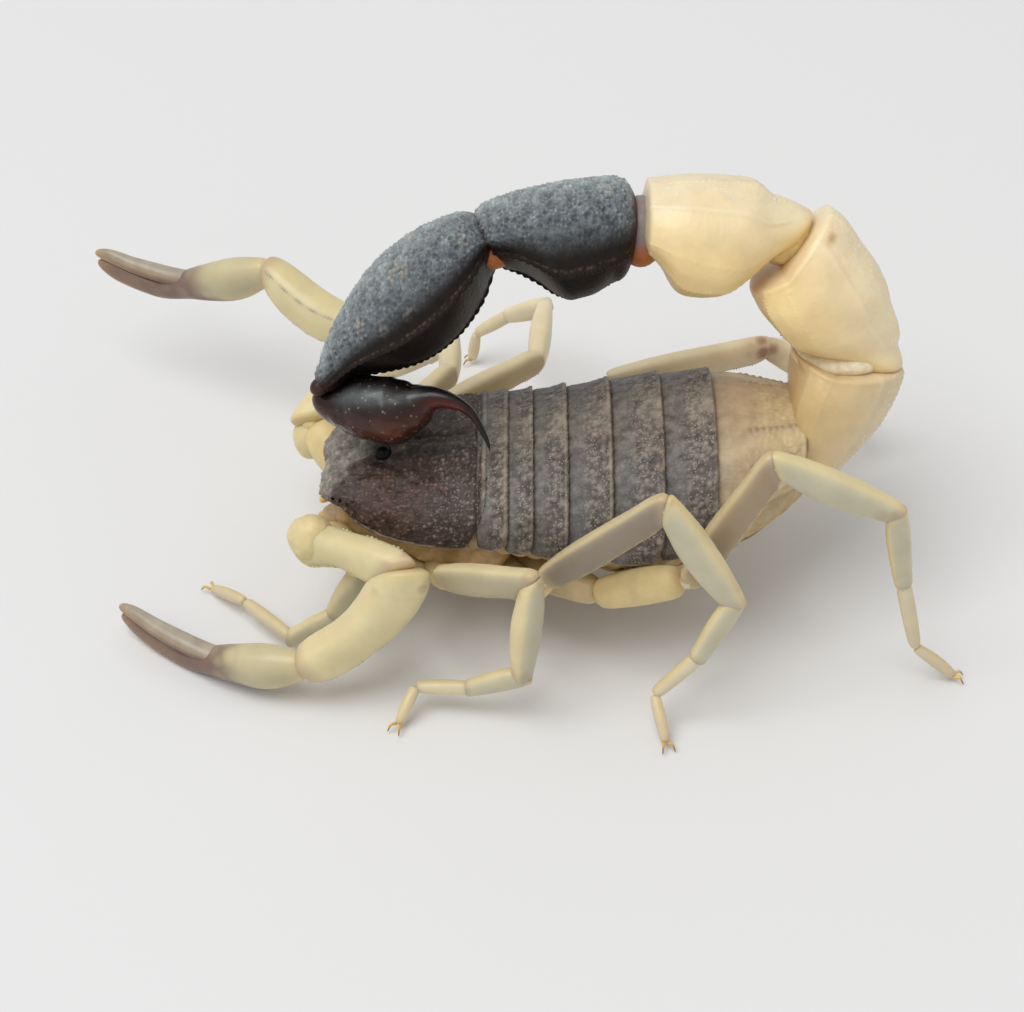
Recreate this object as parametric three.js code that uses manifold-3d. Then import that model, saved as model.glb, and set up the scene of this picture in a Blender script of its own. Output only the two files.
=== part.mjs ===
/**
 * A thick-tailed desert scorpion, life size, standing with its tail curled over its back.
 * Millimetres, +Z up, head towards -Y, the animal's own left side towards +X.
 * It stands on the flat soles of its eight feet at z = 0.
 */
import * as THREE from 'three';
import { mergeVertices } from 'three/addons/utils/BufferGeometryUtils.js';
import Module from 'manifold-3d';

const wasm = await Module();
wasm.setup();

// ---------- driving dimensions ----------

const JOINT_GAP = 0.26; // open space between two pieces that meet at a joint
const SOLE_HEIGHT = 0.05; // the axis of a foot's tip above the floor

const CARAPACE = { front: -5.5, rear: -0.9, frontHalf: 1.55, rearHalf: 3.05 };
const EYE = { radius: 0.21, apart: 0.9, y: -3.6, z: 5.5, clearance: 0.06 };
const TUBERCLE = { half: 0.48, length: 1.3, height: 0.42 };
const CHELICERA = { length: 1.5, width: 0.85, height: 0.8, apart: 1.2 };

// The trunk's section at chosen places along Y: half width, height of its axis, and how far it reaches
// above and below that axis.
const TRUNK_PLACES = [-0.75, 1.5, 3.9, 6.2, 8.3];
const TRUNK_SECTIONS = [
  [3.1, 4.1, 1.7, 1.3],
  [3.35, 3.95, 2.1, 1.55],
  [3.5, 3.95, 2.6, 1.9],
  [3.05, 4.6, 2.2, 2.0],
  [1.85, 5.1, 1.5, 1.45],
];
const TRUNK_PARTS = [
  { name: 'trunk_front', from: -0.6, to: 1.4, rings: 7 },
  { name: 'trunk_middle', from: 1.7, to: 5.55, rings: 9 },
  { name: 'trunk_rear', from: 5.85, to: 9.2, rings: 8 },
];

// Tail segments from the trunk to the sting. Bearing 180 points straight back, 0 straight ahead;
// lean tips the segment over towards the animal's right.
const TAIL_BASE = new THREE.Vector3(0, 8.2, 5.05);
const TAIL_CUT = new THREE.Vector3(0, 0.92, 0.39).normalize(); // the slanting rear face of the trunk
const TAIL = [
  { name: 'tail_1', length: 3.1, width: 3.7, height: 3.5, bearing: -149, pitch: 56, lean: 12, belly: 0.06 },
  { name: 'tail_2', length: 3.8, width: 3.9, height: 3.6, bearing: -31, pitch: 56, lean: 20, belly: 0.04 },
  { name: 'tail_3', length: 4.3, width: 4.0, height: 3.3, bearing: -4, pitch: 5, lean: 22, swelling: 0.14 },
  { name: 'tail_4', length: 4.2, width: 3.9, height: 3.0, bearing: 5, pitch: -1, lean: 30, swelling: 0.16 },
  {
    name: 'tail_5', length: 6.1, width: 3.3, height: 2.75, bearing: 25, pitch: -35, lean: 42,
    taper: 0.25, belly: 0.36,
  },
];
const TELSON = {
  bulb: 3.1, reach: 4.9, width: 1.8, over: 0.35, under: 1.4, drop: 1.6, sting: 0.27,
  bearing: 168, pitch: 0, lean: 20,
};

// Segment lengths of each pair of legs, from femur to foot tip.
const LEG_LENGTHS = {
  1: { femur: 2.2, patella: 2.1, tibia: 1.6, basitarsus: 2.2, telotarsus: 1.6 },
  2: { femur: 3.5, patella: 3.6, tibia: 1.7, basitarsus: 1.6, telotarsus: 1.2 },
  3: { femur: 5.0, patella: 3.9, tibia: 2.2, basitarsus: 1.8, telotarsus: 1.4 },
  4: { femur: 5.0, patella: 3.9, tibia: 2.8, basitarsus: 2.7, telotarsus: 1.6 },
};
const LEG_SECTIONS = {
  trochanter: { width: 0.85, height: 0.9 },
  femur: { width: 0.62, height: 1.0 },
  patella: { width: 0.64, height: 1.0 },
  tibia: { width: 0.5, height: 0.62 },
  basitarsus: { width: 0.5, height: 0.5 },
  telotarsus: { width: 0.5, height: 0.5 },
};
// How each leg stands: where its coxa and trochanter end, and [bearing, pitch] of each segment.
const LEGS = [
  {
    name: 'leg_left_1', side: 1, pair: 1, coxa: [1.5, -2.4, 1.9], hip: [2.0, -2.6, 2.0],
    femur: [33, 34], patella: [6, -64], tibia: [9, -29], basitarsus: [-48, 3], telotarsus: [-43, -20],
  },
  {
    name: 'leg_left_2', side: 1, pair: 2, coxa: [2.7, -1.9, 2.5], hip: [3.9, -2.0, 3.65],
    femur: [149, 25], patella: [35, -83], tibia: [-8, -22], basitarsus: [-3, 0], telotarsus: [64, -41],
  },
  {
    name: 'leg_left_3', side: 1, pair: 3, coxa: [3.1, 0.6, 2.3], hip: [4.1, 0.9, 3.75],
    femur: [166, 48], patella: [162, -57], tibia: [7, -63], basitarsus: [13, -43], telotarsus: [113, -35],
  },
  {
    name: 'leg_left_4', side: 1, pair: 4, coxa: [3.35, 2.5, 2.5], hip: [4.1, 5.0, 3.6],
    femur: [180, 67], patella: [174, -25], tibia: [202, -81], basitarsus: [188, -76], telotarsus: [174, -36],
  },
  {
    name: 'leg_right_1', side: -1, pair: 1, coxa: [2.0, -3.1, 2.3], hip: [3.3, -3.4, 3.7],
    femur: [135, 9], patella: [90, -1], tibia: [37, -55], basitarsus: [29, -43], telotarsus: [25, -42],
  },
  {
    name: 'leg_right_2', side: -1, pair: 2, coxa: [2.7, -1.9, 2.5], hip: [3.9, -2.0, 3.75],
    femur: [144, -1], patella: [95, -7], tibia: [30, -33], basitarsus: [18, -42], telotarsus: [20, -77],
  },
  {
    name: 'leg_right_3', side: -1, pair: 3, coxa: [3.1, 0.6, 1.9], hip: [4.5, 1.0, 2.7],
    femur: [168, 3], patella: [169, -20], tibia: [37, -28], basitarsus: [42, -7], telotarsus: [55, -9],
  },
  {
    name: 'leg_right_4', side: -1, pair: 4, coxa: [3.6, 2.4, 2.1], hip: [4.4, 3.0, 4.3],
    femur: [167, 4], patella: [173, -32], tibia: [70, -44], basitarsus: [65, -2], telotarsus: [90, -17],
  },
];

const PALP_LENGTHS = { femur: 3.9, patella: 4.7, manus: 2.8, finger: 3.9 };
const PALP_SECTIONS = {
  trochanter: { width: 1.2, height: 1.25 },
  femur: { width: 1.0, height: 1.2 },
  patella: { width: 1.2, height: 1.5 },
  manus: { width: 1.15, height: 1.3 },
  finger: { width: 0.5, height: 0.46 },
};
const FINGER_SPACE = 0.14; // between the closed fingers
const PALPS = [
  {
    name: 'pedipalp_left', side: 1, coxa: [1.6, -4.9, 2.8], hip: [2.75, -5.8, 3.8],
    femur: [147, 15], patella: [7, -47], manus: [-20, -13], finger: [-34, 1],
  },
  {
    name: 'pedipalp_right', side: -1, coxa: [1.6, -4.9, 2.8], hip: [2.9, -6.2, 3.7],
    femur: [131, 20], patella: [35, 6], manus: [28, -14], finger: [19, -9],
  },
];

// ---------- materials ----------

const finish = (color, roughness) => new THREE.MeshStandardMaterial({ color, roughness, metalness: 0 });
const FINISHES = {
  shell: () => finish(0x4a403c, 0.75),
  palePlate: () => finish(0xcbb98a, 0.6),
  rearPlate: () => finish(0xa98f63, 0.6),
  paleTail: () => finish(0xe6c578, 0.5),
  darkTail: () => finish(0x23282e, 0.6),
  sting: () => finish(0x3a1512, 0.25),
  leg: () => finish(0xd9cda0, 0.45),
  finger: () => finish(0x8b6f5a, 0.45),
  eye: () => finish(0x080808, 0.1),
};

// ---------- shapes ----------

/** Drops what a lathe leaves behind at its poles and seam, so that the mesh is one closed skin. */
function closed(geometry) {
  geometry.deleteAttribute('normal');
  geometry.deleteAttribute('uv');
  const merged = mergeVertices(geometry, 1e-5);
  const corners = merged.index.array;
  const kept = [];
  for (let i = 0; i < corners.length; i += 3) {
    const [a, b, c] = corners.slice(i, i + 3);
    if (a !== b && b !== c && c !== a) kept.push(a, b, c);
  }
  merged.setIndex(kept);
  return merged;
}

/**
 * A closed solid along +Y. section(t) gives, at fraction t of the length, the half width, the height
 * above and below the axis, and how far the axis is raised and moved aside there.
 */
function loft(length, rings, sides, section) {
  const profile = [];
  for (let ring = 0; ring <= rings; ring += 1) {
    const t = 0.5 - 0.5 * Math.cos((Math.PI * ring) / rings);
    profile.push(new THREE.Vector2(ring === 0 || ring === rings ? 0 : 1, t));
  }
  const geometry = new THREE.LatheGeometry(profile, sides);
  const corners = geometry.attributes.position;
  for (let i = 0; i < corners.count; i += 1) {
    const t = corners.getY(i);
    const across = corners.getX(i);
    const upward = corners.getZ(i);
    const { half, up, down = up, rise = 0, aside = 0 } = section(t);
    corners.setXYZ(i, aside + across * half, t * length, rise + upward * (upward > 0 ? up : down));
  }
  return closed(geometry);
}

/** One at the middle of a length and falling to nought at both ends; a larger power keeps it fuller. */
const rounding = (t, power) => Math.sqrt(Math.max(0, 1 - Math.abs(2 * t - 1) ** power));

/** A rod with rounded ends that reach past both of its joints, a little fuller at the middle. */
function rod(length, { width, height }, { rings = 5, sides = 8, belly = 0.1, past = 0.3 } = {}) {
  const reach = past * height;
  const whole = length + 2 * reach;
  const geometry = loft(whole, rings, sides, (t) => {
    const full = rounding(t, 7) * (1 - belly + belly * Math.sin(Math.PI * t));
    return { half: (width / 2) * full, up: (height / 2) * full };
  });
  return geometry.translate(0, -reach, 0);
}

// ---------- joining and cutting ----------

const toSolid = (geometry) => new wasm.Manifold(new wasm.Mesh({
  numProp: 3,
  vertProperties: new Float32Array(geometry.attributes.position.array),
  triVerts: new Uint32Array(geometry.index.array),
}));

function toGeometry(solid) {
  const mesh = solid.getMesh();
  const geometry = new THREE.BufferGeometry();
  geometry.setAttribute('position', new THREE.BufferAttribute(new Float32Array(mesh.vertProperties), 3));
  geometry.setIndex(Array.from(mesh.triVerts));
  return geometry;
}

const joined = (geometries) => geometries.map(toSolid).reduce((whole, next) => whole.add(next));

/** Keeps the half of a solid that lies ahead of a plane through point, gap along the normal from it. */
const ahead = (solid, point, normal, gap) => solid.trimByPlane(normal.toArray(), point.dot(normal) + gap);

// ---------- placing ----------

/** The direction with a bearing from straight ahead, outwards on the given side, and a pitch upwards. */
function heading(bearing, pitch, side = 1) {
  const b = THREE.MathUtils.degToRad(bearing);
  const p = THREE.MathUtils.degToRad(pitch);
  return new THREE.Vector3(side * Math.sin(b) * Math.cos(p), -Math.cos(b) * Math.cos(p), Math.sin(p));
}

/** The turn that lays +Y along a direction, with +Z as near to `upward` as it can be. */
function facing(direction, upward) {
  const back = direction.clone().normalize();
  const side = back.clone().cross(upward).normalize();
  const top = side.clone().cross(back);
  return new THREE.Matrix4().makeBasis(side, back, top);
}

const UP = new THREE.Vector3(0, 0, 1);

function namedMesh(name, geometry, material) {
  const mesh = new THREE.Mesh(geometry, material);
  mesh.name = name;
  return mesh;
}

/** A mesh whose solid was cut in the model's frame, kept in its own frame from `start` on. */
function placedMesh(name, solid, material, start, turn) {
  const frame = turn.clone().setPosition(start);
  const mesh = namedMesh(name, toGeometry(solid).applyMatrix4(frame.clone().invert()), material);
  mesh.position.copy(start);
  mesh.quaternion.setFromRotationMatrix(turn);
  return mesh;
}

/** A chain of joints: each link gets its start, end, direction and the mitre planes at both ends. */
function chain(start, links, side) {
  const placed = [];
  let from = start;
  for (const link of links) {
    const direction = link.direction ?? heading(...link.turn, side);
    const to = from.clone().addScaledVector(direction, link.length);
    placed.push({ ...link, start: from, end: to, direction });
    from = to;
  }
  for (let i = 1; i < placed.length; i += 1) {
    const mitre = placed[i - 1].direction.clone().add(placed[i].direction).normalize();
    placed[i - 1].endMitre = mitre;
    placed[i].startMitre = mitre;
  }
  return placed;
}

/** A link's solid in the model's frame, mitred where it meets its neighbours. */
function mitred(geometry, link, turn) {
  let solid = toSolid(geometry.applyMatrix4(turn.clone().setPosition(link.start)));
  if (link.startMitre) solid = ahead(solid, link.start, link.startMitre, JOINT_GAP / 2);
  if (link.endMitre) solid = ahead(solid, link.end, link.endMitre.clone().negate(), JOINT_GAP / 2);
  return solid;
}

// ---------- head ----------

function carapace() {
  const { front, rear, frontHalf, rearHalf } = CARAPACE;
  const shell = loft(rear - front, 10, 24, (t) => {
    const half = THREE.MathUtils.lerp(frontHalf, rearHalf, Math.sin((Math.PI / 2) * t ** 0.8));
    const end = rounding(t, 14);
    const dome = 0.75 + 0.95 * Math.sqrt(t);
    return { half: half * end, up: dome * end, down: 0.7 * end, rise: 3.95 + 0.15 * t };
  }).translate(0, front, 0);
  const tubercle = loft(TUBERCLE.length, 6, 12, (t) => {
    const end = rounding(t, 2);
    return { half: TUBERCLE.half * end, up: TUBERCLE.height * end };
  }).translate(0, EYE.y - TUBERCLE.length / 2, EYE.z - 0.2);
  const sockets = [1, -1].map((side) => {
    const socket = closed(new THREE.SphereGeometry(EYE.radius + EYE.clearance, 10, 6));
    return socket.translate((side * EYE.apart) / 2, EYE.y, EYE.z);
  });
  const solid = joined([shell, tubercle]).subtract(joined(sockets));
  return namedMesh('carapace', toGeometry(solid), FINISHES.shell());
}

function eyes() {
  return [1, -1].map((side) => {
    const eye = closed(new THREE.SphereGeometry(EYE.radius, 10, 6));
    const mesh = namedMesh(side > 0 ? 'eye_left' : 'eye_right', eye, FINISHES.eye());
    mesh.position.set((side * EYE.apart) / 2, EYE.y, EYE.z);
    return mesh;
  });
}

function chelicerae() {
  const { length, width, height, apart } = CHELICERA;
  return [1, -1].map((side) => {
    const claw = loft(length, 6, 8, (t) => {
      const full = rounding(t, 5) * (1 - 0.45 * t * t);
      return { half: (width / 2) * full, up: (height / 2) * full, rise: -0.25 * t * t };
    });
    const mesh = namedMesh(side > 0 ? 'chelicera_left' : 'chelicera_right', claw, FINISHES.palePlate());
    mesh.position.set((side * apart) / 2, CARAPACE.front + 0.5, 2.95);
    mesh.rotation.z = Math.PI;
    return mesh;
  });
}

// ---------- trunk ----------

const trunkAt = new THREE.CubicInterpolant(TRUNK_PLACES, TRUNK_SECTIONS.flat(), 4, []);

function trunk() {
  return TRUNK_PARTS.map(({ name, from, to, rings }) => {
    const geometry = loft(to - from, rings, 24, (t) => {
      const [half, rise, up, down] = trunkAt.evaluate(from + t * (to - from));
      const end = rounding(t, 24);
      return { half: half * end, up: up * end, down: down * end, rise };
    }).translate(0, from, 0);
    if (name !== 'trunk_rear') return namedMesh(name, geometry, FINISHES.shell());
    const cut = ahead(toSolid(geometry), TAIL_BASE, TAIL_CUT.clone().negate(), JOINT_GAP / 2);
    return namedMesh(name, toGeometry(cut), FINISHES.rearPlate());
  });
}

// ---------- tail ----------

/** Fullest past its middle. The outer (lower) face is squared off at its ends, the inner one rounded. */
function tailSegment({ length, width, height, taper = 0, swelling = 0.1, belly = 0 }) {
  const reach = 0.3;
  return loft(length + 2 * reach, 9, 14, (t) => {
    const full = (0.86 + 0.14 * Math.sin(Math.PI * t ** 1.3)) * (1 - taper * t);
    const inner = rounding(t, 3.6) * (1 + swelling * Math.sin(Math.PI * t ** 1.5));
    const outer = rounding(t, 8) * (1 + belly * Math.sin(Math.PI * t));
    return {
      half: (width / 2) * full * rounding(t, 5),
      up: (height / 2) * full * inner,
      down: (height / 2) * full * outer,
    };
  }).translate(0, -reach, 0);
}

/** A bulb hung below a straight upper line, which runs on into a sting that bends down at its end. */
function telson({ reach, bulb, width, over, under, drop, sting }) {
  const neck = bulb / reach;
  return loft(reach, 14, 10, (t) => {
    const swell = Math.sin(Math.PI * Math.min(1, t / neck) ** 0.85) ** 0.75;
    const bend = THREE.MathUtils.clamp((t - neck) / (1 - neck), 0, 1);
    const end = rounding(t, 12) * (1 - 0.35 * bend);
    return {
      half: (sting + (width / 2 - sting) * swell) * end,
      up: (sting + (over - sting) * swell) * end,
      down: (sting + (under - sting) * swell) * end,
      rise: -drop * bend ** 1.5,
    };
  });
}

function tail() {
  const links = [...TAIL, { ...TELSON, name: 'telson', length: TELSON.reach }].map((link) => (
    { ...link, turn: [link.bearing, link.pitch] }));
  const placed = chain(TAIL_BASE, links, 1);
  placed[0].startMitre = TAIL_CUT;
  return placed.map((link) => {
    const lean = THREE.MathUtils.degToRad(link.lean);
    const leftward = new THREE.Vector3(Math.cos(lean), 0, Math.sin(lean));
    const turn = facing(link.direction, leftward.clone().cross(link.direction));
    const isTelson = link.name === 'telson';
    const geometry = isTelson ? telson(link) : tailSegment(link);
    const pale = ['tail_1', 'tail_2', 'tail_3'].includes(link.name);
    const material = isTelson ? FINISHES.sting() : (pale ? FINISHES.paleTail() : FINISHES.darkTail());
    return placedMesh(link.name, mitred(geometry, link, turn), material, link.start, turn);
  });
}

// ---------- legs ----------

const onSide = ([x, y, z], side) => new THREE.Vector3(side * x, y, z);

/** The first link of a limb, from the end of its coxa to its hip. */
function trochanterLink({ coxa, hip, side }) {
  const start = onSide(coxa, side);
  const along = onSide(hip, side).sub(start);
  return { part: 'trochanter', start, length: along.length(), direction: along.normalize() };
}

function legLinks(leg) {
  const lengths = LEG_LENGTHS[leg.pair];
  const links = Object.keys(lengths).map((part) => ({ part, length: lengths[part], turn: leg[part] }));
  return chain(onSide(leg.coxa, leg.side), [trochanterLink(leg), ...links], leg.side);
}

/** Basitarsus and telotarsus are one bent foot, with its sole cut flat on the floor. */
function footSolid(basitarsus, telotarsus) {
  const shin = rod(basitarsus.length, LEG_SECTIONS.basitarsus, { rings: 4 });
  const toe = rod(telotarsus.length, LEG_SECTIONS.telotarsus, { rings: 4, past: 0.5 });
  const parts = [[shin, basitarsus], [toe, telotarsus]].map(([geometry, link]) => (
    geometry.applyMatrix4(facing(link.direction, UP).setPosition(link.start))));
  const foot = ahead(joined(parts), basitarsus.start, basitarsus.startMitre, JOINT_GAP / 2);
  return ahead(foot, new THREE.Vector3(), UP, 0);
}

/** Turns the last link so that its tip ends at the sole's height. */
function standOnFloor(links) {
  const foot = links[links.length - 1];
  const drop = (SOLE_HEIGHT - foot.start.z) / foot.length;
  const level = new THREE.Vector3(foot.direction.x, foot.direction.y, 0).normalize();
  const pitch = Math.asin(THREE.MathUtils.clamp(drop, -1, 1));
  foot.direction = level.multiplyScalar(Math.cos(pitch)).setZ(Math.sin(pitch));
}

function leg(pose) {
  const links = legLinks(pose);
  standOnFloor(links);
  const [trochanter, femur, patella, tibia, basitarsus, telotarsus] = links;
  const meshes = [femur, patella, tibia].map((link) => {
    const turn = facing(link.direction, UP);
    const solid = mitred(rod(link.length, LEG_SECTIONS[link.part]), link, turn);
    return placedMesh(`${pose.name}_${link.part}`, solid, FINISHES.leg(), link.start, turn);
  });
  const foot = footSolid(basitarsus, telotarsus);
  const turn = facing(basitarsus.direction, UP);
  meshes.push(placedMesh(`${pose.name}_foot`, foot, FINISHES.leg(), basitarsus.start, turn));
  return { meshes, trochanter };
}

// ---------- pedipalps ----------

function palpLinks(palp) {
  const parts = Object.keys(PALP_LENGTHS);
  const links = parts.map((part) => ({ part, length: PALP_LENGTHS[part], turn: palp[part] }));
  return chain(onSide(palp.coxa, palp.side), [trochanterLink(palp), ...links], palp.side);
}

/** A finger bowed towards its partner at the tip; `over` is its place above or below the palm's axis. */
function finger(length, over) {
  const { width, height } = PALP_SECTIONS.finger;
  return loft(length, 8, 8, (t) => {
    const full = rounding(t, 8) * (1 - 0.3 * t);
    return { half: (width / 2) * full, up: (height / 2) * full, rise: over * (1 - 0.2 * t) };
  });
}

function pedipalp(pose) {
  const links = palpLinks(pose);
  const [trochanter, femur, patella, manus, fingers] = links;
  const meshes = [femur, patella].map((link) => {
    const turn = facing(link.direction, UP);
    const solid = mitred(rod(link.length, PALP_SECTIONS[link.part], { sides: 10, rings: 7 }), link, turn);
    return placedMesh(`${pose.name}_${link.part}`, solid, FINISHES.leg(), link.start, turn);
  });
  const over = (PALP_SECTIONS.finger.height + FINGER_SPACE) / 2;
  const palmTurn = facing(manus.direction, UP);
  const fingerTurn = facing(fingers.direction, UP).setPosition(fingers.start);
  const palm = rod(manus.length, PALP_SECTIONS.manus, { sides: 10, rings: 7, past: 0.25 });
  const fixed = finger(fingers.length + 0.6, -over).translate(0, -0.6, 0).applyMatrix4(fingerTurn);
  const palmSolid = joined([palm.applyMatrix4(palmTurn.clone().setPosition(manus.start)), fixed]);
  const hand = ahead(palmSolid, manus.start, manus.startMitre, JOINT_GAP / 2);
  meshes.push(placedMesh(`${pose.name}_hand`, hand, FINISHES.leg(), manus.start, palmTurn));
  const movable = finger(fingers.length - 0.6, over).translate(0, 0.45, 0);
  const mesh = namedMesh(`${pose.name}_movable_finger`, movable, FINISHES.finger());
  mesh.position.copy(fingers.start);
  mesh.quaternion.setFromRotationMatrix(facing(fingers.direction, UP));
  meshes.push(mesh);
  return { meshes, trochanter };
}

// ---------- underside: sternal plates, coxae and trochanters in one piece ----------

/** A rod between two points. */
function strut(from, to, section, options) {
  const along = to.clone().sub(from);
  const turn = facing(along, UP).setPosition(from);
  return rod(along.length(), section, options).applyMatrix4(turn);
}

function underside(trochanters) {
  const plate = loft(6.4, 7, 12, (t) => {
    const end = rounding(t, 6);
    return { half: (1.5 + 0.6 * t) * end, up: 0.55 * end, down: 0.5 * end, rise: 2.1 - 0.75 * t };
  }).translate(0, -5.0, 0);
  let solid = toSolid(plate);
  for (const link of trochanters) {
    const section = link.palp ? PALP_SECTIONS.trochanter : LEG_SECTIONS.trochanter;
    const root = new THREE.Vector3(link.start.x * 0.35, link.start.y * 0.5 - 1.2, 1.8);
    solid = solid.add(toSolid(strut(root, link.start, section, { rings: 3, sides: 6 })));
    const stub = strut(link.start, link.end, section, { rings: 4, sides: 6 });
    solid = solid.add(ahead(toSolid(stub), link.end, link.endMitre.clone().negate(), JOINT_GAP / 2));
  }
  return namedMesh('underside', toGeometry(solid), FINISHES.palePlate());
}

// ---------- the whole animal ----------

const legs = LEGS.map(leg);
const palps = PALPS.map(pedipalp);
const trochanters = [
  ...legs.map((limb) => limb.trochanter),
  ...palps.map((limb) => ({ ...limb.trochanter, palp: true })),
];

const animal = new THREE.Group();
animal.add(carapace(), ...eyes(), ...chelicerae(), underside(trochanters), ...trunk(), ...tail());
for (const limb of [...palps, ...legs]) animal.add(...limb.meshes);

animal.updateMatrixWorld(true);
const box = new THREE.Box3().setFromObject(animal, true);
animal.position.set(-(box.min.x + box.max.x) / 2, -(box.min.y + box.max.y) / 2, -box.min.z);

const scorpion = new THREE.Group();
scorpion.add(animal);

export default scorpion;
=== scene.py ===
"""The looks of a thick-tailed desert scorpion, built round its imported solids.

Lengths are written in millimetres in the animal's own frame: +Z up, the head towards -Y and the
animal's left side towards +X. Meshes are brought to metres when they are finished.
"""
import itertools
import logging
import math
from dataclasses import dataclass, field, replace
from enum import Enum
from typing import Any, Callable, Iterable, Sequence

import bpy
import numpy as np
from mathutils import Matrix, Vector


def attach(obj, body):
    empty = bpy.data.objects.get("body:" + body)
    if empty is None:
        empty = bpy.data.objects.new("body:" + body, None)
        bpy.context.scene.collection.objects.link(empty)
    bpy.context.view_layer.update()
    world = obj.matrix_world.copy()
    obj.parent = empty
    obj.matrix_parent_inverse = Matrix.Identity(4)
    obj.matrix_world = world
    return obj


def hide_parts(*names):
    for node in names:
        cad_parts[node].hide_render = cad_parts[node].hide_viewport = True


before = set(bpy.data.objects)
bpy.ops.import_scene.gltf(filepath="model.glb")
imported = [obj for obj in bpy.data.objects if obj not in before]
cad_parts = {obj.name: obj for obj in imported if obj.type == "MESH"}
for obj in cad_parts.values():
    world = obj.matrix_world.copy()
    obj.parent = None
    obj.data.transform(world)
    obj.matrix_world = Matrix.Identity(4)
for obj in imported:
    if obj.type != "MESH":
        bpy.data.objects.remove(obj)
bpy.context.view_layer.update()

LOG = logging.getLogger("scorpion")
MM = 0.001  # metres in a millimetre
UP = np.array([0.0, 0.0, 1.0])
UPRIGHT = 0.9  # cosine from which a direction counts as upright
REARWARD = np.array([0.0, 1.0, 0.0])
Colour = tuple[float, float, float]
Triple = tuple[float, float, float]
Array = np.ndarray
Stations = Sequence[tuple[float, float]]


# ---------- names


class Slot(Enum):
    """The record's material slots."""

    DARK_PLATE = "dark_plate"
    TAN_PLATE = "tan_plate"
    PALE_PLATE = "pale_plate"
    PALE_TAIL = "pale_tail"
    DARK_TAIL = "dark_tail"
    STING = "sting"
    LIMB = "limb"
    FINGER = "finger"
    EYE = "eye"


class Side(Enum):
    """The animal's two sides, with the sign of X on each."""

    LEFT = 1
    RIGHT = -1

    @property
    def label(self) -> str:
        """The side's name in lower case."""
        return self.name.lower()


# ---------- colours


@dataclass(frozen=True)
class Pigments:
    """The shell's colours, linear RGB."""

    umber: Colour = (0.066, 0.045, 0.036)
    russet: Colour = (0.085, 0.032, 0.018)
    slate: Colour = (0.125, 0.112, 0.102)
    olive: Colour = (0.29, 0.26, 0.215)
    granule: Colour = (0.46, 0.39, 0.33)
    rim: Colour = (0.33, 0.28, 0.22)
    tan: Colour = (0.42, 0.28, 0.14)
    rose: Colour = (0.4, 0.28, 0.21)
    ochre: Colour = (0.5, 0.31, 0.1)
    straw: Colour = (0.66, 0.53, 0.29)
    membrane: Colour = (0.5, 0.4, 0.25)
    cream: Colour = (0.93, 0.8, 0.56)
    ivory: Colour = (0.98, 0.92, 0.78)
    butter: Colour = (0.9, 0.69, 0.34)
    amber: Colour = (0.72, 0.44, 0.13)
    ink: Colour = (0.04, 0.045, 0.058)
    steel: Colour = (0.29, 0.33, 0.335)
    frost: Colour = (0.56, 0.61, 0.6)
    dust: Colour = (0.42, 0.38, 0.31)
    soot: Colour = (0.014, 0.009, 0.007)
    flame: Colour = (0.5, 0.16, 0.04)
    rust: Colour = (0.25, 0.06, 0.014)
    maroon: Colour = (0.035, 0.008, 0.005)
    blood: Colour = (0.16, 0.015, 0.01)
    pitch: Colour = (0.006, 0.005, 0.005)
    bone: Colour = (0.72, 0.65, 0.45)
    glass: Colour = (0.52, 0.51, 0.39)
    haze: Colour = (0.4, 0.36, 0.25)
    lemon: Colour = (0.7, 0.62, 0.36)
    honey: Colour = (0.78, 0.62, 0.29)
    blush: Colour = (0.4, 0.22, 0.16)
    plum: Colour = (0.17, 0.09, 0.08)
    mauve: Colour = (0.3, 0.23, 0.22)
    smoke: Colour = (0.35, 0.24, 0.14)


INK = Pigments()


def blend(first: Array, second: Sequence[float], share: Array) -> Array:
    """Mixes a colour, or a row of them, with another one.

    Args:
        first: One colour or an (n, 3) array.
        second: The colour mixed in.
        share: How much of it, 0 to 1, for each row.

    Returns:
        An (n, 3) array.
    """
    part = np.clip(np.atleast_1d(share), 0, 1)[:, None]
    return np.asarray(first) * (1 - part) + np.asarray(second) * part


def layers(base: Sequence[float], *coats: tuple[Sequence[float], Array]) -> Array:
    """Lays coats of colour over one colour, or over a row of them.

    Args:
        base: The colour under all coats.
        coats: Each coat's colour, and how much it covers.

    Returns:
        An (n, 3) array.
    """
    colour = np.asarray(base, float)
    for pigment, share in coats:
        colour = blend(colour, pigment, share)
    return colour


def smooth(value: Array, low: float, high: float) -> Array:
    """A soft step from 0 at low to 1 at high."""
    t = np.clip((np.asarray(value, float) - low) / (high - low), 0, 1)
    return t * t * (3 - 2 * t)


def bump(value: Array, at: float, width: float) -> Array:
    """A bell of height 1 at one place, with the given width."""
    return np.exp(-(((value - at) / width) ** 2))


# ---------- grain


# Each row turns a cell into an angle; its sine, many times enlarged, ends in digits that look random.
HASH_ROWS = np.array([(127.1, 311.7, 74.7), (269.5, 183.3, 246.1), (113.5, 271.9, 124.6)])
HASH_SCALE = 43758.5453


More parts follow.
